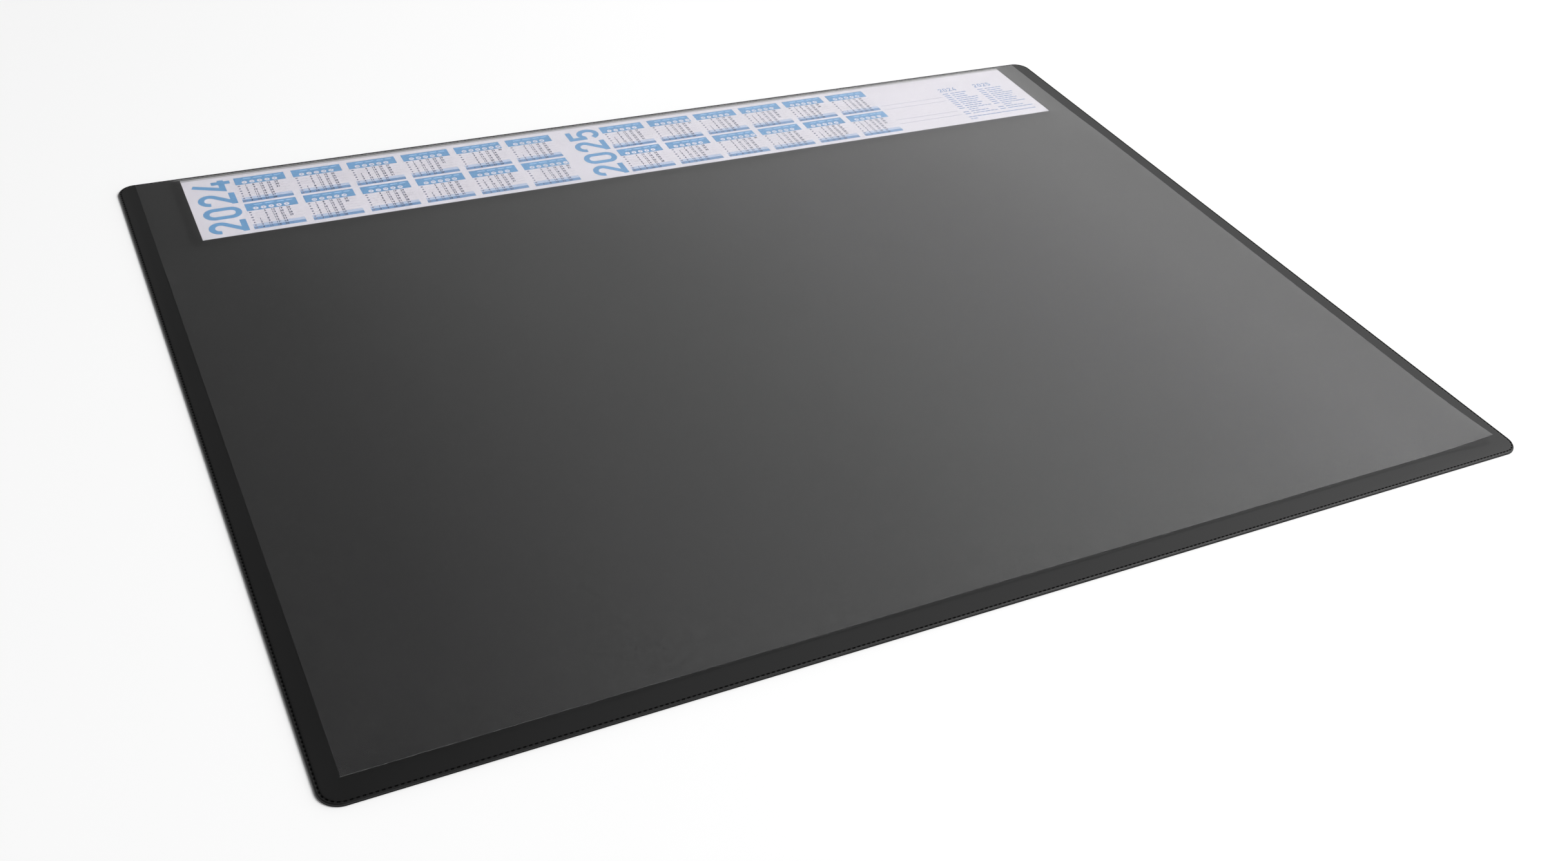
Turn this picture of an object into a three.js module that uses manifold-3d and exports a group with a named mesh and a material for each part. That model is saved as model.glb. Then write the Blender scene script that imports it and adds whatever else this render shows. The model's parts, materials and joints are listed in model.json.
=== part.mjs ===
// Desk pad calendar: a black mat made of a foam base and a thin cover sheet welded
// together round the edge, a printed paper strip with two years of months along the
// back, and a clear film over both that is held in the weld at the back edge only.
//
// Millimetres, +Z up. The origin is at the bottom centre of the mat. The long side
// runs along X, and the calendar lies along the back edge, at +Y.

import * as THREE from 'three';
import { mergeVertices } from 'three/addons/utils/BufferGeometryUtils.js';
import Module from 'manifold-3d';

const wasm = await Module();
wasm.setup();
const { smoothstep } = THREE.MathUtils;

// Mat
const MAT_WIDTH = 650;
const MAT_DEPTH = 500;
const CORNER_RADIUS = 10;
const CORNER_STEPS = 12;
const BASE_THICKNESS = 1.25;
const BASE_ROUNDING = 0.3;
const EDGE_ROUNDING_DEPTH = 0.8;
const COVER_THICKNESS = 0.25;
const COVER_INSET = 0.35;
const COVER_ROUNDING = 0.08;
const ROUNDING_STEPS = 3;

// Weld: a pressed channel that follows the edge, in the cover and in the base below it
const WELD_INSET = 1.3;
const WELD_WIDTH = 0.65;
const WELD_DEPTH = 0.3;
const WELD_WALL = 0.12;
const WELD_CLEARANCE = 0.05;

// Paper strip
const PAPER_LEFT_MARGIN = 35.8;
const PAPER_RIGHT_MARGIN = 26;
const PAPER_BACK_MARGIN = 4.2;
const PAPER_DEPTH = 71.5;
const PAPER_THICKNESS = 0.25;
const PRINT_HEIGHT = 0.05;
const PRINT_ROOT = 0.1;

// Layout of the print, from the paper's left edge to its right edge
const YEARS = [2024, 2025];
const MONTH_COLUMNS = 6;
const MONTH_ROWS = 2;
const PRINT_LEFT_MARGIN = 5.2;
const YEAR_HEIGHT = 22;
const YEAR_STROKE = 3.6;
const YEAR_DIGIT_GAP = 3;
const YEAR_TO_MONTHS = 2.6;
const MONTH_GAP = 4.35;
const MONTH_ROW_GAP = 2.2;
const YEAR_BLOCK_GAP = 10.8;
const NOTES_GAP = 2.5;
const NOTES_WIDTH = 51;
const LISTS_GAP = 3;
const LISTS_WIDTH = 57.5;
const PRINT_RIGHT_MARGIN = 6;
const PRINT_FRONT_MARGIN = 3.4;
const PRINT_BACK_MARGIN = 5.7;

// One month
const HEADER_DEPTH = 8.7;
const SATURDAY_DEPTH = 2.7;
const SUNDAY_DEPTH = 3;
const WEEK_RADIUS = 1.6;
const WEEK_SIDES = 8;
const WEEK_FROM_BACK = 6.3;
const WEEK_FROM_LEFT = 5.55;
const WEEK_FROM_RIGHT = 1.95;
const MOST_WEEKS = 6;

// Notes and lists
const NOTE_PAIRS = 2;
const NOTE_PAIR_PITCH = 22;
const NOTE_PAIR_FROM_FRONT = 12;
const NOTE_LINES = 2;
const NOTE_LINE_DEPTH = 0.4;
const NOTE_LINE_PITCH = 5.7;
const LIST_LINES = 12;
const LIST_LINE_DEPTH = 1;
const LIST_LINE_PITCH = 2.9;
const LIST_HEAD_DEPTH = 26.5;
const LIST_COLUMN_GAP = 2;
const LIST_SHORTEST_SHARE = 0.62;
const LIST_UNEVENNESS = 2.4;

// Bold digits, as shares of the digit's height or width
const FOUR_BAR_HEIGHT = 0.24;
const FOUR_STEM_PLACE = 0.75;
const FOUR_STEM_HEIGHT = 0.5;
const FOUR_ARM_TOP = 0.66;
const FIVE_BOWL_HEIGHT = 0.26;
const TWO_BOWL_END_DEGREES = -35;
const FIVE_STEM_FOOT = 0.44;
const FIVE_BOWL_START_DEGREES = 145;
const FIVE_BOWL_END_DEGREES = -155;
const DIGIT_ARC_STEPS = 9;

// Clear film
const FILM_THICKNESS = 0.2;
const FILM_CLEARANCE = 0.05;
const FILM_LEFT_FROM_CORNER = 0.7;
const FILM_RIGHT_FROM_CORNER = 0.2;
const FILM_FRONT_MARGIN = 12.8;
const FILM_DRAPE = 8;
const FILM_BACK_SEAT = 0.3;
const FILM_WELD_DIP = 0.12;
const FILM_WAVE_HEIGHT = 0.25;
const FILM_WAVE_LENGTH = 210;
const FILM_EDGE_LIFT = 0.7;
const FILM_EDGE_REACH = 55;
const FILM_CORNER_LIFT = 2;
const FILM_CORNER_REACH = 60;
const FILM_STEP = 34;
const FILM_FINE_STEP = 11;

// Worked out from the sizes above
const MAT_THICKNESS = BASE_THICKNESS + COVER_THICKNESS;
const BACK_Y = MAT_DEPTH / 2;
const LEFT_X = -MAT_WIDTH / 2;
const PAPER_LENGTH = MAT_WIDTH - PAPER_LEFT_MARGIN - PAPER_RIGHT_MARGIN;
const PAPER_LEFT_X = LEFT_X + PAPER_LEFT_MARGIN;
const PAPER_RIGHT_X = PAPER_LEFT_X + PAPER_LENGTH;
const PAPER_BACK_Y = BACK_Y - PAPER_BACK_MARGIN;
const PAPER_FRONT_Y = PAPER_BACK_Y - PAPER_DEPTH;
const MONTHS_SPAN = (PAPER_LENGTH - PRINT_LEFT_MARGIN - YEAR_BLOCK_GAP - NOTES_GAP - NOTES_WIDTH
  - LISTS_GAP - LISTS_WIDTH - PRINT_RIGHT_MARGIN) / YEARS.length - YEAR_HEIGHT - YEAR_TO_MONTHS;
const MONTH_WIDTH = (MONTHS_SPAN - (MONTH_COLUMNS - 1) * MONTH_GAP) / MONTH_COLUMNS;
const WEEK_PITCH = (MONTH_WIDTH - WEEK_FROM_LEFT - WEEK_FROM_RIGHT) / (MOST_WEEKS - 1);
const PRINT_DEPTH = PAPER_DEPTH - PRINT_FRONT_MARGIN - PRINT_BACK_MARGIN;
const MONTH_DEPTH = (PRINT_DEPTH - (MONTH_ROWS - 1) * MONTH_ROW_GAP) / MONTH_ROWS;

const BLACK = new THREE.Color(0x1c1c1d);
const PAPER_WHITE = new THREE.Color(0xdcd9e8);
const INK_BLUE = new THREE.Color(0x6d9fcf);
const INK_PALE = new THREE.Color(0xb3cbe8);
const INK_GREY = new THREE.Color(0xb4b8c6);

// A closed outline of the mat, moved in from the edge by inset, at height z
function matLoop(inset, z) {
  const radius = CORNER_RADIUS - inset;
  const points = [];
  for (let corner = 0; corner < 4; corner += 1) {
    const signX = corner === 0 || corner === 3 ? 1 : -1;
    const signY = corner < 2 ? 1 : -1;
    const centreX = signX * (MAT_WIDTH / 2 - CORNER_RADIUS);
    const centreY = signY * (MAT_DEPTH / 2 - CORNER_RADIUS);
    for (let step = 0; step <= CORNER_STEPS; step += 1) {
      const angle = (Math.PI / 2) * (corner + step / CORNER_STEPS);
      points.push([centreX + radius * Math.cos(angle), centreY + radius * Math.sin(angle), z]);
    }
  }
  return points;
}

// A closed solid through a row of loops that all have the same number of points.
// The first loop is closed by a cap that faces down, the last by one that faces up.
function loftLoops(loops) {
  const count = loops[0].length;
  const positions = loops.flat(2);
  const indices = [];
  for (let level = 0; level + 1 < loops.length; level += 1) {
    for (let point = 0; point < count; point += 1) {
      const next = (point + 1) % count;
      const lower = level * count;
      const upper = lower + count;
      indices.push(lower + point, lower + next, upper + next);
      indices.push(lower + point, upper + next, upper + point);
    }
  }
  const last = (loops.length - 1) * count;
  for (let point = 1; point + 1 < count; point += 1) {
    indices.push(0, point + 1, point);
    indices.push(last, last + point, last + point + 1);
  }
  const geometry = new THREE.BufferGeometry();
  geometry.setAttribute('position', new THREE.Float32BufferAttribute(positions, 3));
  geometry.setIndex(indices);
  geometry.computeVertexNormals();
  return geometry;
}

// A quarter round as [inset, z] pairs, from the side wall to the flat above or below it.
// It takes width off the flat and depth off the wall.
function quarterRound(inset, z, width, depth, up) {
  const points = [];
  for (let step = 0; step <= ROUNDING_STEPS; step += 1) {
    const angle = (Math.PI / 2) * (step / ROUNDING_STEPS);
    const across = inset + width * (1 - Math.cos(angle));
    const along = depth * (1 - Math.sin(angle));
    points.push([across, up ? z - along : z + along]);
  }
  return points;
}

// The pressed channel of the weld as [inset, z] pairs, with its top borders at height z
function weldChannel(z, depth, spread) {
  const outer = WELD_INSET - WELD_WIDTH / 2 - spread;
  const inner = WELD_INSET + WELD_WIDTH / 2 + spread;
  return [
    [outer, z],
    [outer + WELD_WALL, z - depth],
    [inner - WELD_WALL, z - depth],
    [inner, z],
  ];
}

function profileSolid(profile) {
  return loftLoops(profile.map(([inset, z]) => matLoop(inset, z)));
}

// The welding tool rounds the foam's upper edge down to where the cover begins
function baseSheet() {
  const profile = [
    ...quarterRound(0, 0, BASE_ROUNDING, BASE_ROUNDING, false).reverse(),
    ...quarterRound(0, BASE_THICKNESS, COVER_INSET, EDGE_ROUNDING_DEPTH, true),
    ...weldChannel(BASE_THICKNESS, WELD_DEPTH + WELD_CLEARANCE, 2 * WELD_CLEARANCE),
  ];
  return profileSolid(profile);
}

// The cover is pressed down into the base's channel, so its underside bulges there.
// The loft runs from the middle of the underside outwards, over the edge and back in.
function coverSheet() {
  const underside = weldChannel(BASE_THICKNESS, WELD_DEPTH, WELD_CLEARANCE).reverse();
  const profile = [
    ...underside,
    [COVER_INSET, BASE_THICKNESS],
    ...quarterRound(COVER_INSET, MAT_THICKNESS, COVER_ROUNDING, COVER_ROUNDING, true),
    ...weldChannel(MAT_THICKNESS, WELD_DEPTH, 0),
  ];
  return profileSolid(profile);
}

// A manifold solid that carries its colour with each vertex
function inkedSolid(geometry, color) {
  const bare = geometry.clone();
  bare.deleteAttribute('normal');
  bare.deleteAttribute('uv');
  const merged = mergeVertices(bare);
  const position = merged.getAttribute('position');
  const vertProperties = new Float32Array(position.count * 6);
  for (let vertex = 0; vertex < position.count; vertex += 1) {
    const values = [position.getX(vertex), position.getY(vertex), position.getZ(vertex)];
    vertProperties.set([...values, color.r, color.g, color.b], vertex * 6);
  }
  const triVerts = new Uint32Array(merged.index.array);
  return new wasm.Manifold(new wasm.Mesh({ numProp: 6, vertProperties, triVerts }));
}

function inkedGeometry(solid) {
  const mesh = solid.getMesh();
  const position = [];
  const color = [];
  for (const vertex of mesh.triVerts) {
    const start = vertex * mesh.numProp;
    position.push(...mesh.vertProperties.slice(start, start + 3));
    color.push(...mesh.vertProperties.slice(start + 3, start + 6));
  }
  const geometry = new THREE.BufferGeometry();
  geometry.setAttribute('position', new THREE.Float32BufferAttribute(position, 3));
  geometry.setAttribute('color', new THREE.Float32BufferAttribute(color, 3));
  geometry.computeVertexNormals();
  return geometry;
}

function extrudeFlat(shape, depth, z) {
  const geometry = new THREE.ExtrudeGeometry(shape, { depth, bevelEnabled: false });
  geometry.translate(0, 0, z);
  return geometry;
}

// A printed shape stands PRINT_HEIGHT proud of the paper and is rooted in it
function printedSolid(shape, color) {
  const geometry = extrudeFlat(shape, PRINT_ROOT + PRINT_HEIGHT, PAPER_THICKNESS - PRINT_ROOT);
  return inkedSolid(geometry, color);
}

function rectangleShape(x, y, width, depth) {
  const shape = new THREE.Shape();
  shape.moveTo(x, y);
  shape.lineTo(x + width, y);
  shape.lineTo(x + width, y + depth);
  shape.lineTo(x, y + depth);
  shape.closePath();
  return shape;
}

function arcPoints(centreX, centreY, radiusX, radiusY, fromDegrees, toDegrees, steps) {
  const points = [];
  for (let step = 0; step <= steps; step += 1) {
    const degrees = fromDegrees + (toDegrees - fromDegrees) * (step / steps);
    const angle = THREE.MathUtils.degToRad(degrees);
    const x = centreX + radiusX * Math.cos(angle);
    const y = centreY + radiusY * Math.sin(angle);
    points.push(new THREE.Vector2(x, y));
  }
  return points;
}

// The two sides of a pen stroke of even width along a centre line, with mitred bends
function strokeSides(line, width, closed) {
  const count = line.length;
  const left = [];
  const right = [];
  line.forEach((point, index) => {
    const before = closed ? line[(index + count - 1) % count] : line[Math.max(index - 1, 0)];
    const after = closed ? line[(index + 1) % count] : line[Math.min(index + 1, count - 1)];
    const into = index > 0 || closed ? point.clone().sub(before).normalize() : null;
    const out = index < count - 1 || closed ? after.clone().sub(point).normalize() : null;
    const along = (into ?? out).clone().add(out ?? into).normalize();
    const normal = new THREE.Vector2(-along.y, along.x);
    const mitre = width / 2 / along.dot(into ?? out);
    left.push(point.clone().addScaledVector(normal, mitre));
    right.push(point.clone().addScaledVector(normal, -mitre));
  });
  return [left, right];
}

function openStroke(line, width) {
  const [left, right] = strokeSides(line, width, false);
  return new THREE.Shape([...right, ...left.reverse()]);
}

function closedStroke(line, width) {
  const [left, right] = strokeSides(line, width, true);
  const shape = new THREE.Shape(right);
  shape.holes.push(new THREE.Path(left));
  return shape;
}

// The strokes of a bold digit that fills a box of the given width and height
function digitShapes(digit, width, height, stroke) {
  const low = stroke / 2;
  const high = height - low;
  const left = low;
  const right = width - low;
  const middle = width / 2;
  const round = (right - left) / 2;
  const at = (x, y) => new THREE.Vector2(x, y);
  if (digit === '0') {
    const top = arcPoints(middle, high - round, round, round, 0, 180, DIGIT_ARC_STEPS);
    const bottom = arcPoints(middle, low + round, round, round, 180, 360, DIGIT_ARC_STEPS);
    return [closedStroke([...top, ...bottom], stroke)];
  }
  if (digit === '2') {
    const end = TWO_BOWL_END_DEGREES;
    const bowl = arcPoints(middle, high - round, round, round, 180, end, DIGIT_ARC_STEPS);
    const bar = openStroke([at(0, low), at(width, low)], stroke);
    return [openStroke([...bowl, at(left, low)], stroke), bar];
  }
  if (digit === '4') {
    const bar = height * FOUR_BAR_HEIGHT;
    const stem = width * FOUR_STEM_PLACE;
    const armTop = at(width * FOUR_ARM_TOP, height);
    const arm = openStroke([armTop, at(left, bar), at(width, bar)], stroke);
    return [arm, openStroke([at(stem, 0), at(stem, height * FOUR_STEM_HEIGHT)], stroke)];
  }
  const tall = height * FIVE_BOWL_HEIGHT;
  const start = FIVE_BOWL_START_DEGREES;
  const end = FIVE_BOWL_END_DEGREES;
  const bowl = arcPoints(middle, low + tall, round, tall, start, end, DIGIT_ARC_STEPS);
  const stemFoot = at(left, height * FIVE_STEM_FOOT);
  const flag = openStroke([at(right, high), at(left, high), stemFoot], stroke);
  return [flag, openStroke(bowl, stroke)];
}

// A year number whose line of writing runs from the front to the back of the paper
function yearNumber(year, baseX, frontY) {
  const digits = String(year);
  const width = (PRINT_DEPTH - (digits.length - 1) * YEAR_DIGIT_GAP) / digits.length;
  const turn = new THREE.Matrix4().makeRotationZ(Math.PI / 2);
  const solids = [];
  [...digits].forEach((digit, index) => {
    const alongY = frontY + index * (width + YEAR_DIGIT_GAP);
    for (const shape of digitShapes(digit, width, YEAR_HEIGHT, YEAR_STROKE)) {
      const geometry = extrudeFlat(shape, PRINT_ROOT + PRINT_HEIGHT, PAPER_THICKNESS - PRINT_ROOT);
      geometry.applyMatrix4(turn);
      geometry.translate(baseX, alongY, 0);
      solids.push(inkedSolid(geometry, INK_BLUE));
    }
  });
  return solids;
}

// Weeks that a month touches, counted from Monday, which is the number of its columns
function weeksInMonth(year, month) {
  const first = new Date(Date.UTC(year, month, 1));
  const days = new Date(Date.UTC(year, month + 1, 0)).getUTCDate();
  const daysBeforeFirst = (first.getUTCDay() + 6) % 7;
  return Math.ceil((daysBeforeFirst + days) / 7);
}

// One month: a blue header with a round window for each week, and the weekend's two bands
function monthBlock(x, y, weeks) {
  const backY = y + MONTH_DEPTH;
  const header = rectangleShape(x, backY - HEADER_DEPTH, MONTH_WIDTH, HEADER_DEPTH);
  for (let week = 0; week < weeks; week += 1) {
    const centreX = x + WEEK_FROM_LEFT + week * WEEK_PITCH;
    const centreY = backY - WEEK_FROM_BACK;
    const ring = arcPoints(centreX, centreY, WEEK_RADIUS, WEEK_RADIUS, 0, -360, WEEK_SIDES);
    header.holes.push(new THREE.Path(ring.slice(0, -1)));
  }
  const sunday = rectangleShape(x, y, MONTH_WIDTH, SUNDAY_DEPTH);
  const saturday = rectangleShape(x, y + SUNDAY_DEPTH, MONTH_WIDTH, SATURDAY_DEPTH);
  return [
    printedSolid(header, INK_BLUE),
    printedSolid(sunday, INK_BLUE),
    printedSolid(saturday, INK_PALE),
  ];
}

// The months run down each column first, then on to the next column
function yearMonths(year, startX, frontY) {
  const solids = [];
  for (let month = 0; month < MONTH_COLUMNS * MONTH_ROWS; month += 1) {
    const column = Math.floor(month / MONTH_ROWS);
    const rowFromFront = MONTH_ROWS - 1 - (month % MONTH_ROWS);
    const x = startX + column * (MONTH_WIDTH + MONTH_GAP);
    const y = frontY + rowFromFront * (MONTH_DEPTH + MONTH_ROW_GAP);
    solids.push(...monthBlock(x, y, weeksInMonth(year, month)));
  }
  return solids;
}

// Pairs of faint writing lines, one pair beside each row of months
function noteLines(x, frontY) {
  const solids = [];
  for (let pair = 0; pair < NOTE_PAIRS; pair += 1) {
    const middleY = frontY + NOTE_PAIR_FROM_FRONT + pair * NOTE_PAIR_PITCH;
    for (let index = 0; index < NOTE_LINES; index += 1) {
      const y = middleY + (index - (NOTE_LINES - 1) / 2) * NOTE_LINE_PITCH;
      const line = rectangleShape(x, y - NOTE_LINE_DEPTH / 2, NOTES_WIDTH, NOTE_LINE_DEPTH);
      solids.push(printedSolid(line, INK_GREY));
    }
  }
  return solids;
}

// A list of short entries of uneven length, as plain bars, for each year
function listColumns(x, backY) {
  const columnWidth = (LISTS_WIDTH - LIST_COLUMN_GAP) / YEARS.length;
  const solids = [];
  for (let column = 0; column < YEARS.length; column += 1) {
    const startX = x + column * (columnWidth + LIST_COLUMN_GAP);
    for (let index = 0; index < LIST_LINES; index += 1) {
      const unevenness = (1 + Math.sin(index * LIST_UNEVENNESS)) / 2;
      const share = LIST_SHORTEST_SHARE + (1 - LIST_SHORTEST_SHARE) * unevenness;
      const y = backY - LIST_HEAD_DEPTH - index * LIST_LINE_PITCH;
      const line = rectangleShape(startX, y - LIST_LINE_DEPTH, columnWidth * share, LIST_LINE_DEPTH);
      solids.push(printedSolid(line, INK_PALE));
    }
  }
  return solids;
}

function calendarStrip() {
  const paper = rectangleShape(0, 0, PAPER_LENGTH, PAPER_DEPTH);
  const solids = [inkedSolid(extrudeFlat(paper, PAPER_THICKNESS, 0), PAPER_WHITE)];
  let x = PRINT_LEFT_MARGIN;
  YEARS.forEach((year, index) => {
    solids.push(...yearNumber(year, x + YEAR_HEIGHT, PRINT_FRONT_MARGIN));
    x += YEAR_HEIGHT + YEAR_TO_MONTHS;
    solids.push(...yearMonths(year, x, PRINT_FRONT_MARGIN));
    x += MONTHS_SPAN + (index + 1 < YEARS.length ? YEAR_BLOCK_GAP : NOTES_GAP);
  });
  solids.push(...noteLines(x, PRINT_FRONT_MARGIN));
  x += NOTES_WIDTH + LISTS_GAP;
  solids.push(...listColumns(x, PAPER_DEPTH));
  return inkedGeometry(wasm.Manifold.union(solids));
}

const FILM = {
  left: LEFT_X + CORNER_RADIUS + FILM_LEFT_FROM_CORNER,
  right: -LEFT_X - CORNER_RADIUS - FILM_RIGHT_FROM_CORNER,
  front: -BACK_Y + FILM_FRONT_MARGIN,
  seat: BACK_Y - WELD_INSET - WELD_WIDTH / 2,
  dipped: BACK_Y - WELD_INSET,
  back: BACK_Y - WELD_INSET + WELD_WIDTH / 2 - WELD_WALL - WELD_CLEARANCE,
};

// Height of the film's underside: it lies on the cover, climbs onto the paper, dips into
// the weld at the back, waves a little, and stands up at its free edges and front corner
function filmHeight(x, y) {
  if (y > FILM.seat) {
    const down = smoothstep(y, FILM.seat, FILM.dipped);
    return MAT_THICKNESS + FILM_CLEARANCE - down * (FILM_CLEARANCE + FILM_WELD_DIP);
  }
  const overX = smoothstep(x, PAPER_LEFT_X - FILM_DRAPE, PAPER_LEFT_X)
    * (1 - smoothstep(x, PAPER_RIGHT_X, PAPER_RIGHT_X + FILM_DRAPE));
  const overY = smoothstep(y, PAPER_FRONT_Y - FILM_DRAPE, PAPER_FRONT_Y)
    * (1 - smoothstep(y, PAPER_BACK_Y, FILM.seat - FILM_BACK_SEAT));
  const paperRise = (PAPER_THICKNESS + PRINT_HEIGHT) * overX * overY;
  const freeOfPaper = 1 - smoothstep(y, PAPER_FRONT_Y - FILM_EDGE_REACH, PAPER_FRONT_Y);
  const wave = (1 - Math.cos((2 * Math.PI * (x - FILM.left)) / FILM_WAVE_LENGTH)) / 2;
  const fromEdge = Math.min(y - FILM.front, x - FILM.left, FILM.right - x);
  const edge = Math.max(0, 1 - fromEdge / FILM_EDGE_REACH) ** 2;
  const fromCorner = Math.hypot(FILM.right - x, y - FILM.front);
  const corner = Math.max(0, 1 - fromCorner / FILM_CORNER_REACH) ** 2;
  const lift = FILM_WAVE_HEIGHT * wave + FILM_EDGE_LIFT * edge + FILM_CORNER_LIFT * corner;
  return MAT_THICKNESS + FILM_CLEARANCE + paperRise + freeOfPaper * lift;
}

// Grid lines through all the given stops, close together from fineFrom to fineTo
function gridLines(stops, fineFrom, fineTo) {
  const sorted = [...stops, fineFrom, fineTo].sort((a, b) => a - b);
  const lines = [sorted[0]];
  for (const stop of sorted.slice(1)) {
    const start = lines[lines.length - 1];
    if (stop - start < WELD_CLEARANCE) {
      continue;
    }
    const fine = start >= fineFrom - WELD_CLEARANCE && stop <= fineTo + WELD_CLEARANCE;
    const pieces = Math.ceil((stop - start) / (fine ? FILM_FINE_STEP : FILM_STEP));
    for (let piece = 1; piece <= pieces; piece += 1) {
      lines.push(start + ((stop - start) * piece) / pieces);
    }
  }
  return lines;
}

// A thin sheet over a grid: the underside follows height(x, y), and the rim closes it
function sheetOverGrid(xs, ys, height, thickness) {
  const columns = xs.length;
  const layer = columns * ys.length;
  const positions = [];
  for (const rise of [0, thickness]) {
    for (const y of ys) {
      for (const x of xs) {
        positions.push(x, y, height(x, y) + rise);
      }
    }
  }
  const indices = [];
  for (let row = 0; row + 1 < ys.length; row += 1) {
    for (let column = 0; column + 1 < columns; column += 1) {
      const a = row * columns + column;
      const b = a + 1;
      const c = a + columns;
      const d = c + 1;
      indices.push(a, d, b, a, c, d);
      indices.push(layer + a, layer + b, layer + d, layer + a, layer + d, layer + c);
    }
  }
  const rim = [];
  for (let column = 0; column + 1 < columns; column += 1) {
    rim.push(column);
  }
  for (let row = 0; row + 1 < ys.length; row += 1) {
    rim.push(row * columns + columns - 1);
  }
  for (let column = columns - 1; column > 0; column -= 1) {
    rim.push(layer - columns + column);
  }
  for (let row = ys.length - 1; row > 0; row -= 1) {
    rim.push(row * columns);
  }
  rim.forEach((from, index) => {
    const to = rim[(index + 1) % rim.length];
    indices.push(from, to, layer + to, from, layer + to, layer + from);
  });
  const geometry = new THREE.BufferGeometry();
  geometry.setAttribute('position', new THREE.Float32BufferAttribute(positions, 3));
  geometry.setIndex(indices);
  geometry.computeVertexNormals();
  return geometry;
}

function overlayFilm() {
  const xs = gridLines(
    [FILM.left, PAPER_LEFT_X - FILM_DRAPE, PAPER_LEFT_X,
      PAPER_RIGHT_X, PAPER_RIGHT_X + FILM_DRAPE, FILM.right],
    FILM.right - FILM_CORNER_REACH,
    FILM.right,
  );
  const ys = gridLines(
    [FILM.front, PAPER_FRONT_Y - FILM_DRAPE, PAPER_FRONT_Y, PAPER_BACK_Y,
      FILM.seat - FILM_BACK_SEAT, FILM.seat, FILM.dipped, FILM.back],
    FILM.front,
    FILM.front + FILM_CORNER_REACH,
  );
  return sheetOverGrid(xs, ys, filmHeight, FILM_THICKNESS);
}

function namedMesh(name, geometry, look) {
  const mesh = new THREE.Mesh(geometry, new THREE.MeshStandardMaterial(look));
  mesh.name = name;
  return mesh;
}

const deskPad = new THREE.Group();

deskPad.add(namedMesh('base_sheet', baseSheet(), { color: BLACK, roughness: 0.85, metalness: 0 }));
deskPad.add(namedMesh('cover_sheet', coverSheet(), { color: BLACK, roughness: 0.55, metalness: 0 }));

const strip = namedMesh('calendar_strip', calendarStrip(), {
  vertexColors: true,
  roughness: 0.7,
  metalness: 0,
});
strip.position.set(PAPER_LEFT_X, PAPER_FRONT_Y, MAT_THICKNESS);
deskPad.add(strip);

deskPad.add(namedMesh('overlay_film', overlayFilm(), {
  color: 0xdfe2e6,
  roughness: 0.35,
  metalness: 0,
  transparent: true,
  opacity: 0.25,
}));

export default deskPad;
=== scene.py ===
# %% [markdown]
# # A desk pad calendar
# The object is a flat black mat with a clear film over it. A long paper strip with two
# years of months lies between the two, along the back edge. Almost all of its look comes
# from thin things lying on each other, so this lesson is about sheets a fraction of a
# millimetre thick, print, and light that grazes a dull black surface.
#
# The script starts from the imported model, whose four sheets have their real places and
# sizes. A finer mesh with a finish of its own then stands for each of them.

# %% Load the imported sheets
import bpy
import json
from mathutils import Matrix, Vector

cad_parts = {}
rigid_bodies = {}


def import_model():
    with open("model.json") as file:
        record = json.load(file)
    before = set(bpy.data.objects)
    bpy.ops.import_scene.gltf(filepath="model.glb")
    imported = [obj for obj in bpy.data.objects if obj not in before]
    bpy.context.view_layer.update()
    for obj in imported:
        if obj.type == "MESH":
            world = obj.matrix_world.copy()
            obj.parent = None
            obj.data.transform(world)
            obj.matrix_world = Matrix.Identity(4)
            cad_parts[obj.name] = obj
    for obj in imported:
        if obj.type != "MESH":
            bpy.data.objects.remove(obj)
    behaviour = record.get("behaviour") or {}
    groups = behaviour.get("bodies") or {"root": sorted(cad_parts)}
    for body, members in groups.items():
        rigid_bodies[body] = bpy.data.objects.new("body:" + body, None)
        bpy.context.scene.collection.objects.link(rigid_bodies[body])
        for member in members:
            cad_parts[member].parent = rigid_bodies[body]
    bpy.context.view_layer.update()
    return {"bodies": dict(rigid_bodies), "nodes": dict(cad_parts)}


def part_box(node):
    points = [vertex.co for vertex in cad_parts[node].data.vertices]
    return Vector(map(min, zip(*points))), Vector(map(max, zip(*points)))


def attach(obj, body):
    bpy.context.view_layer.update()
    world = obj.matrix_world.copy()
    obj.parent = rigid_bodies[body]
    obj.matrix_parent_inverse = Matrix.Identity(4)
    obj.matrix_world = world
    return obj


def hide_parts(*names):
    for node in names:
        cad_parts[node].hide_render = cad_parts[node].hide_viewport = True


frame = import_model()

import datetime
import json
import math

import bpy
import numpy as np
from mathutils import Vector

MM = 0.001
print("sheets:", sorted(frame["nodes"]))

# %% [markdown]
# ## Sizes taken from the sheets
# The finer meshes must lie exactly where the solids lie. All sizes could be typed in again,
# but then a change to the solids would leave them behind. The outer sizes are therefore
# read from the solids' boxes, and only what the boxes can't tell is written down here.

# %% Boxes and thicknesses
BASE_LOW, BASE_HIGH = (Vector(corner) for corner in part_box("base_sheet"))
COVER_HIGH = Vector(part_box("cover_sheet")[1])
PAPER_LOW, PAPER_HIGH = (Vector(corner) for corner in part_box("calendar_strip"))
FILM_LOW, FILM_HIGH = (Vector(corner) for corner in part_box("overlay_film"))

MAT_WIDTH = BASE_HIGH.x - BASE_LOW.x
MAT_DEPTH = BASE_HIGH.y - BASE_LOW.y
MAT_TOP = COVER_HIGH.z
BASE_TOP = BASE_HIGH.z
CORNER_RADIUS = 10 * MM
PAPER_THICKNESS = 0.25 * MM
PAPER_LENGTH = PAPER_HIGH.x - PAPER_LOW.x
PAPER_DEPTH = PAPER_HIGH.y - PAPER_LOW.y
print("mat top at", round(MAT_TOP / MM, 3), "mm, paper", round(PAPER_LENGTH / MM, 1), "mm long")

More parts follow.
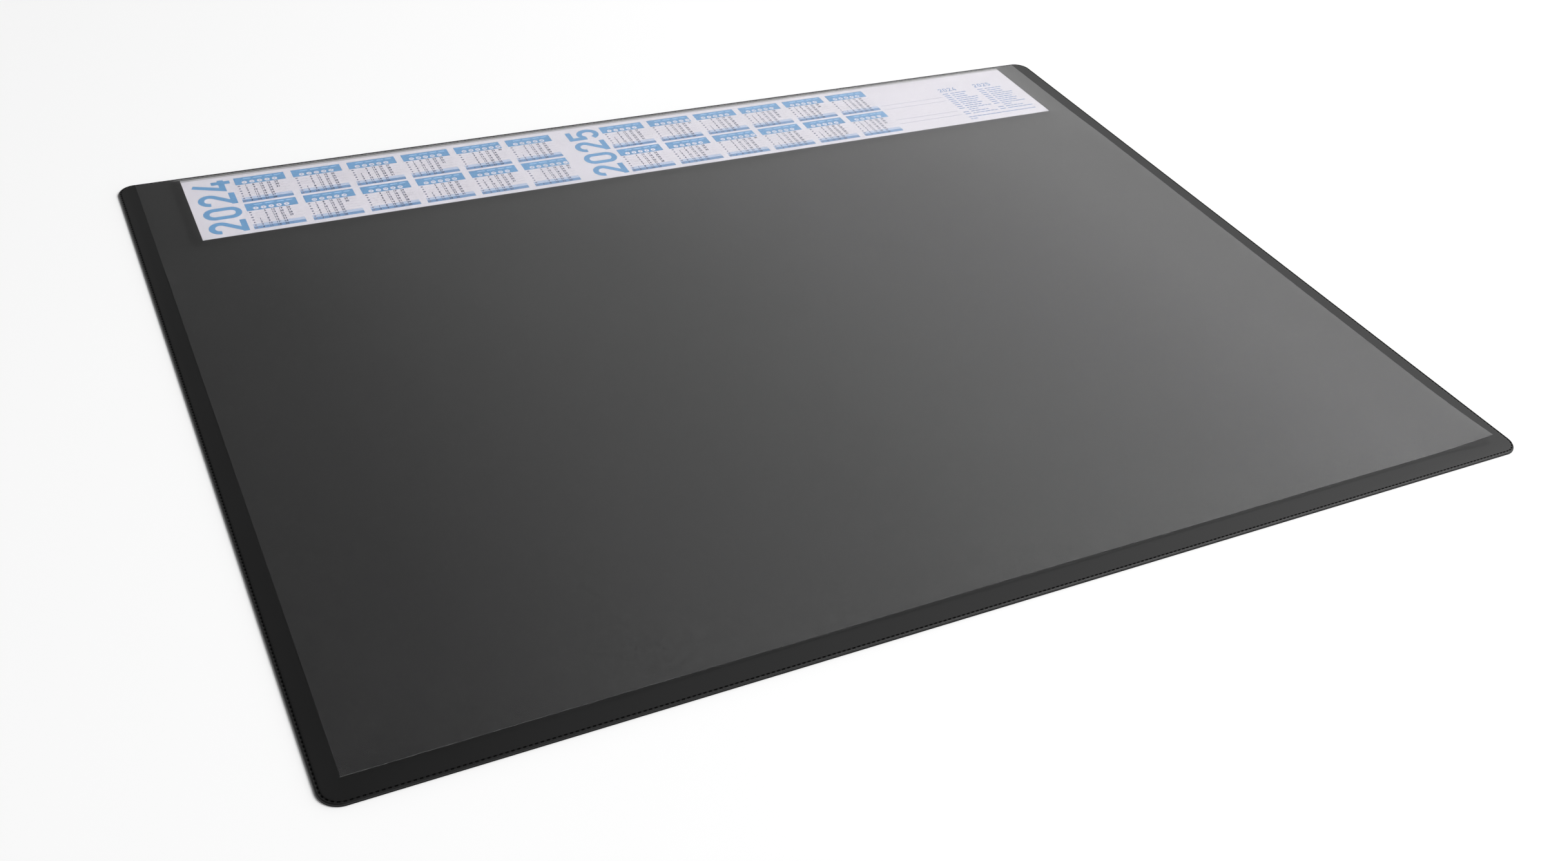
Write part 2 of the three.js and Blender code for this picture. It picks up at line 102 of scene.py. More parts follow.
# %% [markdown]
# ## The camera
# The photograph looks down on the mat from beyond its front left corner, from half a metre
# up. A camera could be turned by eye until it looks right. Here its place, its turn and its
# lens were worked out from the mat's straight edges and from the even spacing of the
# months, so the render can be laid over the photo.

# %% Camera
CAMERA_PLACE = (-0.38085, -0.65583, 0.49893)
CAMERA_TURN_DEGREES = (52.288, -5.275, -26.493)
CAMERA_LENS = 36.357
SENSOR_WIDTH = 36
NEAREST_SEEN = 10 * MM

camera_data = bpy.data.cameras.new("camera")
camera_data.sensor_width = SENSOR_WIDTH
camera_data.lens = CAMERA_LENS
camera_data.clip_start = NEAREST_SEEN
camera = bpy.data.objects.new("camera", camera_data)
camera.location = CAMERA_PLACE
camera.rotation_euler = [math.radians(degrees) for degrees in CAMERA_TURN_DEGREES]
bpy.context.scene.collection.objects.link(camera)
bpy.context.scene.camera = camera
print("camera at", CAMERA_PLACE)

# %% [markdown]
# ## Small helpers for meshes
# A mesh could be pushed into shape with modifiers. Sheets this thin are easier to get right
# as plain arrays of points and faces, which keep every height in a formula. One function
# turns the arrays into an object, and another lets it ride on the mat.

# %% Mesh helpers
ROOT = sorted(frame["bodies"])[0]
SMOOTH_LIMIT_DEGREES = 40


def new_piece(name, vertices, faces, materials, face_materials=None, smooth=False):
    mesh = bpy.data.meshes.new(name)
    mesh.from_pydata([tuple(v) for v in vertices], [], [tuple(f) for f in faces])
    for material in materials:
        mesh.materials.append(material)
    if face_materials is not None:
        mesh.polygons.foreach_set("material_index", face_materials)
    if smooth:
        mesh.shade_smooth()
        mesh.set_sharp_from_angle(angle=math.radians(SMOOTH_LIMIT_DEGREES))
    mesh.update()
    piece = bpy.data.objects.new(name, mesh)
    bpy.context.scene.collection.objects.link(piece)
    return piece


def place_piece(piece, slot, *replaced):
    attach(piece, ROOT)
    if replaced:
        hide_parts(*replaced)
    print(piece.name, "has", len(piece.data.polygons), "faces")


print("everything rides on", ROOT)

# %% [markdown]
# ## Shader groups
# Two effects turn up in several finishes. Fine grain is the dull, even roughness of
# calendered plastic, foam and paper. Mottle is the slow change of tone over a hand's
# breadth that keeps a large plain sheet from looking painted. Both could be built again in
# each material. Each is a group with its own inputs instead, so a finish only says how
# coarse and how strong it is.

# %% Group helpers
def new_group(name, inputs, outputs):
    group = bpy.data.node_groups.new(name, "ShaderNodeTree")
    for label, default in inputs:
        socket = group.interface.new_socket(label, in_out="INPUT",
                                            socket_type="NodeSocketFloat")
        socket.default_value = default
    for label in outputs:
        group.interface.new_socket(label, in_out="OUTPUT", socket_type="NodeSocketFloat")
    return group, group.nodes.new("NodeGroupInput"), group.nodes.new("NodeGroupOutput")


def noise_value(tree, scale_socket, detail, roughness=0.5):
    coordinates = tree.nodes.new("ShaderNodeTexCoord")
    noise = tree.nodes.new("ShaderNodeTexNoise")
    noise.inputs["Detail"].default_value = detail
    noise.inputs["Roughness"].default_value = roughness
    tree.links.new(coordinates.outputs["Object"], noise.inputs["Vector"])
    tree.links.new(scale_socket, noise.inputs["Scale"])
    return noise.outputs["Fac"]


def math_node(tree, operation, first, second):
    node = tree.nodes.new("ShaderNodeMath")
    node.operation = operation
    for socket, value in zip(node.inputs, (first, second)):
        if isinstance(value, (int, float)):
            socket.default_value = value
        else:
            tree.links.new(value, socket)
    return node.outputs[0]


# %% Grain
GRAIN_DETAIL = 3
FINE_GRAIN_DETAIL = 2
FINE_GRAIN_RATIO = 2.7
FINE_GRAIN_SHARE = 0.6


def make_grain_group():
    group, given, wanted = new_group("fine_grain", [("Scale", 2000), ("Strength", 1)], ["Height"])
    coarse = noise_value(group, given.outputs["Scale"], GRAIN_DETAIL)
    fine_scale = math_node(group, "MULTIPLY", given.outputs["Scale"], FINE_GRAIN_RATIO)
    fine = noise_value(group, fine_scale, FINE_GRAIN_DETAIL)
    fine_part = math_node(group, "MULTIPLY", fine, FINE_GRAIN_SHARE)
    both = math_node(group, "ADD", coarse, fine_part)
    height = math_node(group, "MULTIPLY", both, given.outputs["Strength"])
    group.links.new(height, wanted.inputs["Height"])
    return group


GRAIN = make_grain_group()
print("shader group:", GRAIN.name)

# %% Mottle
MOTTLE_DETAIL = 4
MOTTLE_ROUGHNESS = 0.6
NOISE_USUAL = (0.3, 0.7)


def make_mottle_group():
    inputs = [("Scale", 8), ("Low", 0.9), ("High", 1.1)]
    group, given, wanted = new_group("mottle", inputs, ["Value"])
    noise = noise_value(group, given.outputs["Scale"], MOTTLE_DETAIL, MOTTLE_ROUGHNESS)
    spread = group.nodes.new("ShaderNodeMapRange")
    spread.inputs["From Min"].default_value = NOISE_USUAL[0]
    spread.inputs["From Max"].default_value = NOISE_USUAL[1]
    group.links.new(noise, spread.inputs["Value"])
    group.links.new(given.outputs["Low"], spread.inputs["To Min"])
    group.links.new(given.outputs["High"], spread.inputs["To Max"])
    group.links.new(spread.outputs["Result"], wanted.inputs["Value"])
    return group


MOTTLE = make_mottle_group()
print("shader group:", MOTTLE.name)

# %% [markdown]
# ## Finishes
# Plastic, foam, paper and ink differ in colour, gloss and grain, not in kind, so one
# function makes all of them. It starts from one Principled shader. The colour and the
# roughness are multiplied by mottle, and grain goes through a Bump node into the normal.
# Scales are counts per metre, so 2500 means features of 0.4 mm, which is what moulded
# grain measures. Depths are in micrometres.

# %% Finish helper
MICRON = 0.001 * MM
MOTTLE_SCALE = 9


def new_finish(name, color, roughness, grain_scale, grain_depth, specular, tone=0.05):
    material = bpy.data.materials.new(name)
    material.use_nodes = True
    tree = material.node_tree
    shader = tree.nodes["Principled BSDF"]
    shader.inputs["Specular IOR Level"].default_value = specular

    mottle = tree.nodes.new("ShaderNodeGroup")
    mottle.node_tree = MOTTLE
    mottle.inputs["Scale"].default_value = MOTTLE_SCALE
    mottle.inputs["Low"].default_value = 1 - tone
    mottle.inputs["High"].default_value = 1 + tone

    tint = tree.nodes.new("ShaderNodeVectorMath")
    tint.operation = "SCALE"
    tint.inputs[0].default_value = color
    tree.links.new(mottle.outputs["Value"], tint.inputs["Scale"])
    tree.links.new(tint.outputs[0], shader.inputs["Base Color"])
    rough = math_node(tree, "MULTIPLY", mottle.outputs["Value"], roughness)
    tree.links.new(rough, shader.inputs["Roughness"])

    grain = tree.nodes.new("ShaderNodeGroup")
    grain.node_tree = GRAIN
    grain.inputs["Scale"].default_value = grain_scale
    bump = tree.nodes.new("ShaderNodeBump")
    bump.inputs["Strength"].default_value = 1
    bump.inputs["Distance"].default_value = grain_depth * MICRON
    tree.links.new(grain.outputs["Height"], bump.inputs["Height"])
    tree.links.new(bump.outputs["Normal"], shader.inputs["Normal"])
    return material


# %% Black plastics
COVER_BLACK = (0.0022, 0.0022, 0.0023)
# Painted shade: a darker, duller black for hollows and undersides that little light reaches.
SHADE_BLACK = (0.002, 0.002, 0.002)
FOAM_BLACK = (0.008, 0.008, 0.0082)

cover_finish = new_finish("black_cover", COVER_BLACK, roughness=0.36, grain_scale=2600,
                          grain_depth=10, specular=0.42, tone=0.06)
# Painted shade for the insides of the dashes, the cover's cut edge and the wedges on the film.
dash_shade_finish = new_finish("pressed_dash_shade", SHADE_BLACK, roughness=0.7, grain_scale=3000,
                         grain_depth=10, specular=0.1)
foam_finish = new_finish("foam_base", FOAM_BLACK, roughness=0.42, grain_scale=1400,
                         grain_depth=40, specular=0.38, tone=0.1)
# Painted shade: the foam's underside and the foot of its edge get this darker, duller black.
sole_shade_finish = new_finish("foam_sole_shade", SHADE_BLACK, roughness=0.8, grain_scale=1400,
                         grain_depth=60, specular=0.08, tone=0.1)
print("black finishes:", cover_finish.name, dash_shade_finish.name, foam_finish.name, sole_shade_finish.name)

# %% Paper and inks
PAPER_WHITE = (0.55, 0.532, 0.575)
INKS = {
    "ink_blue": (0.11, 0.262, 0.455),
    "ink_pale": (0.37, 0.43, 0.56),
    "ink_sunday": (0.13, 0.24, 0.41),
    "ink_light": (0.29, 0.45, 0.64),
    "ink_dark": (0.035, 0.045, 0.09),
    "ink_faint": (0.40, 0.415, 0.49),
    "ink_list": (0.17, 0.25, 0.42),
    "ink_small_year": (0.12, 0.22, 0.41),
    "ink_line": (0.24, 0.27, 0.36),
    # The next entry is no ink but painted shade along the paper's back edge.
    "painted_back_shade": (0.34, 0.335, 0.345),
    "ink_letter": (0.16, 0.17, 0.24),
}
paper_finish = new_finish("printed_paper", PAPER_WHITE, roughness=0.6, grain_scale=4000,
                          grain_depth=10, specular=0.3, tone=0.015)
ink_finishes = {
    name: new_finish(name, color, roughness=0.55, grain_scale=4000, grain_depth=8,
                     specular=0.3, tone=0.03)
    for name, color in INKS.items()
}
print("inks:", ", ".join(ink_finishes))

# %% [markdown]
# ## The clear film
# The film is dull on its surface and clear in its body. A rough glass shader would do both,
# but lamps don't shine through glass, and the paper under it would go dark. The Light Path
# node lets rays from lamps through a plain Transparent shader instead, while the camera
# still sees glass with a soft shine. Its matte side has a fine speckle. A bump could make
# it, but would bend the print below, so the speckle is a thin coat whose weight changes
# from one millimetre to the next. It is the mottle group again, at a fine scale.

# %% Film finish
FILM_TINT = (0.94, 0.94, 0.94)
FILM_SHADE = (0.88, 0.88, 0.88, 1)
FILM_ROUGHNESS = 0.14
FILM_IOR = 1.28
FILM_COAT_ROUGHNESS = 0.3
SPECKLE_SCALE = 650
SPECKLE_MOST = 0.45


def make_film_finish():
    """A rough glass with a speckled coat, which lets the light of lamps through."""
    material = new_finish("clear_film", FILM_TINT, roughness=FILM_ROUGHNESS, grain_scale=900,
                          grain_depth=15, specular=0.5, tone=0.004)
    tree = material.node_tree
    shader = tree.nodes["Principled BSDF"]
    shader.inputs["Transmission Weight"].default_value = 1
    shader.inputs["IOR"].default_value = FILM_IOR
    shader.inputs["Coat Roughness"].default_value = FILM_COAT_ROUGHNESS
    speckle = tree.nodes.new("ShaderNodeGroup")
    speckle.node_tree = MOTTLE
    speckle.inputs["Scale"].default_value = SPECKLE_SCALE
    speckle.inputs["Low"].default_value = 0
    speckle.inputs["High"].default_value = SPECKLE_MOST
    tree.links.new(speckle.outputs["Value"], shader.inputs["Coat Weight"])
    clear = tree.nodes.new("ShaderNodeBsdfTransparent")
    clear.inputs["Color"].default_value = FILM_SHADE
    path = tree.nodes.new("ShaderNodeLightPath")
    mix = tree.nodes.new("ShaderNodeMixShader")
    output = tree.nodes["Material Output"]
    tree.links.new(path.outputs["Is Shadow Ray"], mix.inputs["Fac"])
    tree.links.new(shader.outputs[0], mix.inputs[1])
    tree.links.new(clear.outputs[0], mix.inputs[2])
    tree.links.new(mix.outputs[0], output.inputs["Surface"])
    return material


film_finish = make_film_finish()
print("film roughness", FILM_ROUGHNESS)

# %% [markdown]
# ## The path round the edge
# The weld that joins the two sheets is pressed with a toothed tool. It leaves a channel
# along the edge, and in its floor a row of short deep dashes that look like stitches. They
# could be cut out of the sheet one by one, which is slow and leaves ragged faces. Instead
# one walk round the outline gives stations: where the corner's centre is, which way is
# out, and whether a dash is pressed there. The shape then follows from the stations.

# %% Stations round the edge
WELD_INSET = 1.3 * MM
DASH_PITCH = 2.483 * MM
DASH_STATIONS = ((0.0, 0), (0.05, 1), (0.57, 1), (0.62, 0))
CORNER_STATIONS = 24
HALF_SIDES = np.array((MAT_WIDTH / 2 - CORNER_RADIUS, MAT_DEPTH / 2 - CORNER_RADIUS))
CORNER_SIGNS = np.array(((1, 1), (-1, 1), (-1, -1), (1, -1)))


def quarter_turns(count):
    """The direction that lies this many quarter turns round from +X."""
    return np.array((math.cos(math.pi / 2 * count), math.sin(math.pi / 2 * count)))


def walk_edge(length_along, arc):
    """Centre and outward direction at a length along the weld, from the back right corner on."""
    corner = 0
    side = 2 * HALF_SIDES[0]
    while length_along > arc + side:
        length_along -= arc + side
        corner += 1
        side = 2 * HALF_SIDES[corner % 2]
    outward = quarter_turns(corner + min(length_along / arc, 1))
    forward = quarter_turns(corner + 2)
    centre = CORNER_SIGNS[corner] * HALF_SIDES + max(length_along - arc, 0) * forward
    return centre, outward


def dashed_stations():
    arc = math.pi / 2 * (CORNER_RADIUS - WELD_INSET)
    length = 4 * arc + 4 * sum(HALF_SIDES)
    dashes = round(length / DASH_PITCH)
    stations = []
    for dash in range(dashes):
        for share, pressed in DASH_STATIONS:
            stations.append((*walk_edge((dash + share) / dashes * length, arc), pressed))
    return stations


def corner_stations():
    stations = []
    for corner in range(4):
        for step in range(CORNER_STATIONS + 1):
            outward = quarter_turns(corner + step / CORNER_STATIONS)
            stations.append((CORNER_SIGNS[corner] * HALF_SIDES, outward, 0))
    return stations


DASHED = dashed_stations()
ROUNDED = corner_stations()
print(len(DASHED) // len(DASH_STATIONS), "dashes round the edge")

# %% [markdown]
# ## One loft for both sheets
# Both sheets have the same outline, so both are a profile carried round it. A profile
# point has an inset from the outline, a height, and a second height that holds where a
# dash is pressed. Between two neighbouring points lies one level of faces, and the flat
# under and upper sides close the form.

# %% Loft
def loft(profile, stations):
    count = len(stations)
    vertices = []
    for inset, height, pressed_height in profile:
        for centre, outward, pressed in stations:
            place = centre + outward * (CORNER_RADIUS - inset)
            vertices.append((place[0], place[1], pressed_height if pressed else height))
    faces = []
    for level in range(len(profile) - 1):
        for point in range(count):
            after = (point + 1) % count
            low = level * count
            high = low + count
            faces.append((low + point, low + after, high + after, high + point))
    last = (len(profile) - 1) * count
    faces.append(tuple(reversed(range(count))))
    faces.append(tuple(range(last, last + count)))
    return vertices, faces


def rounded_edge(inset, height, width, depth, steps, up):
    """Profile points of a quarter round, from the side wall to the flat."""
    points = []
    for step in range(steps + 1):
        angle = math.pi / 2 * step / steps
        drop = depth * (1 - math.sin(angle))
        level = height - drop if up else height + drop
        points.append((inset + width * (1 - math.cos(angle)), level, level))
    return points


print("stations for the cover:", len(DASHED), "and for the base:", len(ROUNDED))

# %% [markdown]
# ## The base sheet
# The lower sheet is black foam. The tool presses its upper edge round, and that round edge
# catches a thin line of light along the front. Its underside, up to the foot of that edge,
# has a duller black of painted shade where the mat meets the desk. A bevelled slab could do,
# but not the channel in its top, so it is lofted, more finely than the solid to keep facets off
# the corners.

# %% Base sheet
COVER_INSET = 0.35 * MM
BASE_ROUNDING = 0.3 * MM
EDGE_ROUNDING_DEPTH = 0.8 * MM
WELD_WIDTH = 0.65 * MM
WELD_WALL = 0.12 * MM
WELD_DEPTH = 0.3 * MM
WELD_CLEARANCE = 0.05 * MM
FOOT_STEPS = 6
EDGE_STEPS = 10
DARK_EDGE_STEPS = 2


def channel(top, depth, spread):
    """Profile points of the weld's channel, made wider on both sides by the spread."""
    outer = WELD_INSET - WELD_WIDTH / 2 - spread
    inner = WELD_INSET + WELD_WIDTH / 2 + spread
    floor = top - depth
    points = [(outer, top), (outer + WELD_WALL, floor), (inner - WELD_WALL, floor), (inner, top)]
    return [(inset, height, height) for inset, height in points]


base_foot = rounded_edge(0, BASE_LOW.z, BASE_ROUNDING, BASE_ROUNDING, FOOT_STEPS, False)
base_edge = rounded_edge(0, BASE_TOP, COVER_INSET, EDGE_ROUNDING_DEPTH, EDGE_STEPS, True)
base_channel = channel(BASE_TOP, WELD_DEPTH + WELD_CLEARANCE, 2 * WELD_CLEARANCE)
base_profile = [*reversed(base_foot), *base_edge, *base_channel]

# The underside and the lowest steps of the round edge get the painted shade finish.
FOAM, SHADED_SOLE = 0, 1
shaded_sole_levels = len(base_foot) + DARK_EDGE_STEPS
base_marks = []
for level in range(len(base_profile) - 1):
    base_marks += [SHADED_SOLE if level < shaded_sole_levels else FOAM] * len(ROUNDED)
base_marks += [SHADED_SOLE, FOAM]
base = new_piece("foam_base_sheet", *loft(base_profile, ROUNDED), [foam_finish, sole_shade_finish],
                 base_marks, smooth=True)
place_piece(base, "foam_base", "base_sheet")

# %% [markdown]
# ## The cover sheet and its pressed dashes
# The cover is only a quarter of a millimetre thick. A dash goes deeper than the channel
# between the dashes, and the plastic on both sides of the channel rises into a low lip. A
# bump could draw the dashes, but they are deep enough to cast shadows, so they are shape.
# The faces inside a dash have a duller black, painted shade for the little light that gets
# down there, and the sheet's cut edge has the same painted shade.

# %% Cover sheet
RIDGE_WIDTH = 0.25 * MM
RIDGE_DEPTH = 0.19 * MM
RIDGE_STEPS = 5
LIP_RISE = 0.03 * MM
DASH_WIDTH = 0.84 * MM
DASH_WALL = 0.12 * MM
BRIDGE_DEPTH = 0.15 * MM
DASH_DEPTH = 0.4 * MM
OUTER_LIP_INSET = 0.74 * MM
INNER_LIP_INSET = 1.95 * MM
LIP_END_INSET = 2.6 * MM


def dash_profile():
    """Five points across a dash, from its outer to its inner edge."""
    outer = WELD_INSET - DASH_WIDTH / 2
    inner = WELD_INSET + DASH_WIDTH / 2
    bridge = MAT_TOP - BRIDGE_DEPTH
    floor = MAT_TOP - DASH_DEPTH
    return [(outer, MAT_TOP, MAT_TOP), (outer + DASH_WALL, bridge, floor),
            (WELD_INSET, bridge, floor), (inner - DASH_WALL, bridge, floor),
            (inner, MAT_TOP, MAT_TOP)]


lip = MAT_TOP + LIP_RISE
cover_under = [*reversed(channel(BASE_TOP, WELD_DEPTH, WELD_CLEARANCE)),
               (COVER_INSET, BASE_TOP, BASE_TOP)]
cover_ridge = [*rounded_edge(COVER_INSET, lip, RIDGE_WIDTH, RIDGE_DEPTH, RIDGE_STEPS, True),
               (OUTER_LIP_INSET, lip, lip)]
cover_dash = dash_profile()
cover_profile = [*cover_under, *cover_ridge, *cover_dash, (INNER_LIP_INSET, lip, lip),
                 (LIP_END_INSET, MAT_TOP, MAT_TOP)]
cover_vertices, cover_faces = loft(cover_profile, DASHED)
print("points in the cover's profile:", len(cover_profile))

# %% Where the cover gets painted shade
PLAIN, SHADED = 0, 1
cut_levels = (len(cover_under) - 1, len(cover_under))
first_dash_level = len(cover_under) + len(cover_ridge)
dash_levels = range(first_dash_level, first_dash_level + len(cover_dash) - 1)
pressed_at = [pressed for _, _, pressed in DASHED]
in_dash = [here and after for here, after in zip(pressed_at, pressed_at[1:] + pressed_at[:1])]

# The cut edge and the insides of the dashes get the painted shade finish.
cover_marks = []
for level in range(len(cover_profile) - 1):
    for pressed in in_dash:
        shaded = level in cut_levels or (level in dash_levels and pressed)
        cover_marks.append(SHADED if shaded else PLAIN)
cover_marks += [PLAIN, PLAIN]
cover = new_piece("pressed_cover_sheet", cover_vertices, cover_faces, [cover_finish, dash_shade_finish],
                  cover_marks, smooth=True)
place_piece(cover, "black_cover", "cover_sheet")

# %% [markdown]
# ## The paper
# The strip is plain heavy paper with a lilac tone. It is cut square, and a plain box would
# nearly do. But a knife leaves no razor edge on paper, so the box is built from four rings,
# which take a small chamfer off its upper and lower edges.

# %% Paper strip
PAPER_CHAMFER = 0.05 * MM


def paper_mesh():
    rings = [(PAPER_CHAMFER, 0), (0, PAPER_CHAMFER), (0, PAPER_THICKNESS - PAPER_CHAMFER),
             (PAPER_CHAMFER, PAPER_THICKNESS)]
    vertices = []
    for inset, rise in rings:
        left, right = PAPER_LOW.x + inset, PAPER_HIGH.x - inset
        front, back = PAPER_LOW.y + inset, PAPER_HIGH.y - inset
        corners = [(left, front), (right, front), (right, back), (left, back)]
        vertices += [(x, y, PAPER_LOW.z + rise) for x, y in corners]
    last = 4 * (len(rings) - 1)
    faces = [(3, 2, 1, 0), tuple(range(last, last + 4))]
    for level in range(len(rings) - 1):
        for side in range(4):
            a = level * 4 + side
            b = level * 4 + (side + 1) % 4
            faces.append((a, b, b + 4, a + 4))
    return vertices, faces


paper = new_piece("calendar_paper", *paper_mesh(), [paper_finish])
place_piece(paper, "printed_paper", "calendar_strip")

# %% [markdown]
# ## How the print is built
# Ink on paper is about as flat as a thing can be, and could be a texture. Here every field,
# rule and number is real geometry, a few hundredths of a millimetre proud, because it then
# stays sharp from any distance. A small collector gathers the shapes of one kind of print
# into one mesh. Each shape is a thin closed slab whose foot reaches into the paper, so that
# no gap shows under it.

# %% The print collector
PAPER_TOP = PAPER_LOW.z + PAPER_THICKNESS
FIELD_RISE = 0.02 * MM
MARK_RISE = 0.035 * MM
PRINT_ROOT = 0.02 * MM
DISC_SIDES = 20


class Print:
    """Gathers flat slabs of ink, each from an outline on the paper, into one mesh."""

    def __init__(self, rise):
        self.rise = rise
        self.vertices = []
        self.faces = []
        self.inks = []
        self.names = []

    def ink_index(self, ink):
        if ink not in self.names:
            self.names.append(ink)
        return self.names.index(ink)

    def add_mesh(self, points, faces, border, ink, extra_rise=0):
        """points are on the paper in metres, faces are their index tuples, border runs round."""
        start = len(self.vertices)
        count = len(points)
        for height in (PAPER_TOP - PRINT_ROOT - extra_rise, PAPER_TOP + self.rise + extra_rise):
            for x, y in points:
                self.vertices.append((PAPER_LOW.x + x, PAPER_LOW.y + y, height))
        index = self.ink_index(ink)
        for face in faces:
            self.faces.append(tuple(start + count + point for point in face))
            self.faces.append(tuple(start + point for point in reversed(face)))
            self.inks += [index, index]
        for a, b in border:
            self.faces.append((start + a, start + b, start + count + b, start + count + a))
            self.inks.append(index)

    def add_outline(self, points, ink):
        count = len(points)
        border = [(point, (point + 1) % count) for point in range(count)]
        self.add_mesh(points, [tuple(range(count))], border, ink)

    def add_box(self, x, y, width, depth, ink):
        self.add_outline([(x, y), (x + width, y), (x + width, y + depth), (x, y + depth)], ink)

    def add_disc(self, x, y, radius, ink):
        turns = [2 * math.pi / DISC_SIDES * side for side in range(DISC_SIDES)]
        ring = [(x + radius * math.cos(turn), y + radius * math.sin(turn)) for turn in turns]
        self.add_outline(ring, ink)

    def finish(self, name):
        finishes = [ink_finishes.get(ink, paper_finish) for ink in self.names]
        piece = new_piece(name, self.vertices, self.faces, finishes, self.inks)
        place_piece(piece, "printed_paper")


print("the paper's top is at", round(PAPER_TOP / MM, 3), "mm")

# %% [markdown]
# ## Where things are on the paper
# The layout runs from the paper's left edge to its right edge: a year number on its side,
# six columns of two months, the next year in the same way, some lines to write on, and two
# short lists. Every month could have its own measured place, but a printer sets them on an
# even grid. So only margins and gaps are given, and the months take up what those leave.

# %% Layout
YEARS = (2024, 2025)
COLUMNS = 6
ROWS = 2
LEFT_MARGIN = 5.2 * MM
YEAR_HEIGHT = 22 * MM
YEAR_STROKE = 3.6 * MM
YEAR_DIGIT_GAP = 3 * MM
YEAR_TO_MONTHS = 2.6 * MM
MONTH_GAP = 4.35 * MM
ROW_GAP = 2.2 * MM
YEAR_BLOCK_GAP = 10.8 * MM
NOTES_GAP = 2.5 * MM
NOTES_WIDTH = 51 * MM
LISTS_GAP = 3 * MM
LISTS_WIDTH = 57.5 * MM
RIGHT_MARGIN = 6 * MM
FRONT_MARGIN = 3.4 * MM
BACK_MARGIN = 5.7 * MM

FIXED_PARTS = (LEFT_MARGIN + YEAR_BLOCK_GAP + NOTES_GAP + NOTES_WIDTH + LISTS_GAP + LISTS_WIDTH
               + RIGHT_MARGIN)
MONTHS_SPAN = (PAPER_LENGTH - FIXED_PARTS) / len(YEARS) - YEAR_HEIGHT - YEAR_TO_MONTHS
MONTH_WIDTH = (MONTHS_SPAN - (COLUMNS - 1) * MONTH_GAP) / COLUMNS
PRINT_DEPTH = PAPER_DEPTH - FRONT_MARGIN - BACK_MARGIN
MONTH_DEPTH = (PRINT_DEPTH - (ROWS - 1) * ROW_GAP) / ROWS
print("a month is", round(MONTH_WIDTH / MM, 2), "x", round(MONTH_DEPTH / MM, 2), "mm")

# %% [markdown]
# ## The year numbers
# The big years are bold digits on their side. A font could give them, but its strokes are
# thinner and its curves rounder than these. They are pen strokes of even width instead,
# along centre lines of straights and arcs. A small function finds the two sides of a
# stroke, so each digit is only its centre lines, in shares of its height and width.

# %% Strokes
ARC_STEPS = 24


def arc_points(centre_x, centre_y, radius_x, radius_y, start, end):
    points = []
    for step in range(ARC_STEPS + 1):
        angle = math.radians(start + (end - start) * step / ARC_STEPS)
        points.append((centre_x + radius_x * math.cos(angle),
                       centre_y + radius_y * math.sin(angle)))
    return points


def unit(vector):
    return vector / np.linalg.norm(vector)


def stroke_quads(line, width, closed):
    """Points and quads of an even stroke along a centre line, with its border edges."""
    line = np.array(line)
    count = len(line)
    left = []
    right = []
    for index in range(count):
        before = line[index - 1] if index > 0 or closed else None
        after = line[(index + 1) % count] if index < count - 1 or closed else None
        into = unit(line[index] - before) if before is not None else None
        out = unit(after - line[index]) if after is not None else None
        into = out if into is None else into
        out = into if out is None else out
        along = unit(into + out)
        reach = width / 2 / along.dot(into)
        normal = np.array((-along[1], along[0]))
        left.append(line[index] + normal * reach)
        right.append(line[index] - normal * reach)
    points = [*right, *left]
    spans = count if closed else count - 1
    faces = []
    border = []
    for index in range(spans):
        after = (index + 1) % count
        faces.append((index, after, count + after, count + index))
        border.append((index, after))
        border.append((count + after, count + index))
    if not closed:
        border.append((count - 1, 2 * count - 1))
        border.append((count, 0))
    return points, faces, border


print("points in half a turn:", len(arc_points(0, 0, 1, 1, 0, 180)))

# %% Digits of the year
STROKE_LAYER = 0.006 * MM
TWO_BOWL_END = -35
FOUR_BAR = 0.24
FOUR_TIP = 0.66
FOUR_STEM = 0.75
FIVE_BOWL = 0.26
FIVE_BOWL_TURN = (145, -155)
FIVE_BACK = 0.44


def digit_lines(digit, width, height, stroke):
    """Centre lines of a bold 0, 2, 4 or 5, each as (points, closed)."""
    low = stroke / 2
    high = height - low
    right = width - low
    middle = width / 2
    bend = (right - low) / 2
    if digit == "0":
        top = arc_points(middle, high - bend, bend, bend, 0, 180)
        bottom = arc_points(middle, low + bend, bend, bend, 180, 360)
        return [(top + bottom, True)]
    if digit == "2":
        bowl = arc_points(middle, high - bend, bend, bend, 180, TWO_BOWL_END)
        return [(bowl + [(low, low)], False), ([(0, low), (width, low)], False)]
    if digit == "4":
        bar = height * FOUR_BAR
        stem = width * FOUR_STEM
        arm = [(width * FOUR_TIP, height), (low, bar), (width, bar)]
        return [(arm, False), ([(stem, 0), (stem, height / 2)], False)]
    deep = height * FIVE_BOWL
    bowl = arc_points(middle, low + deep, bend, deep, *FIVE_BOWL_TURN)
    return [([(right, high), (low, high), (low, height * FIVE_BACK)], False), (bowl, False)]


def write_year(ink_print, year, place, height, width, gap, stroke, ink, sideways):
    """place is where the writing starts; sideways writing runs to the back of the paper."""
    for index, digit in enumerate(str(year)):
        for layer, (line, closed) in enumerate(digit_lines(digit, width, height, stroke)):
            points, faces, border = stroke_quads(line, stroke, closed)
            shifted = [(x + index * (width + gap), y) for x, y in points]
            if sideways:
                turned = [(place[0] - y, place[1] + x) for x, y in shifted]
            else:
                turned = [(place[0] + x, place[1] + y) for x, y in shifted]
            ink_print.add_mesh(turned, faces, border, ink, layer * STROKE_LAYER)


print("strokes in a 4:", len(digit_lines("4", 1, 2, 0.2)))

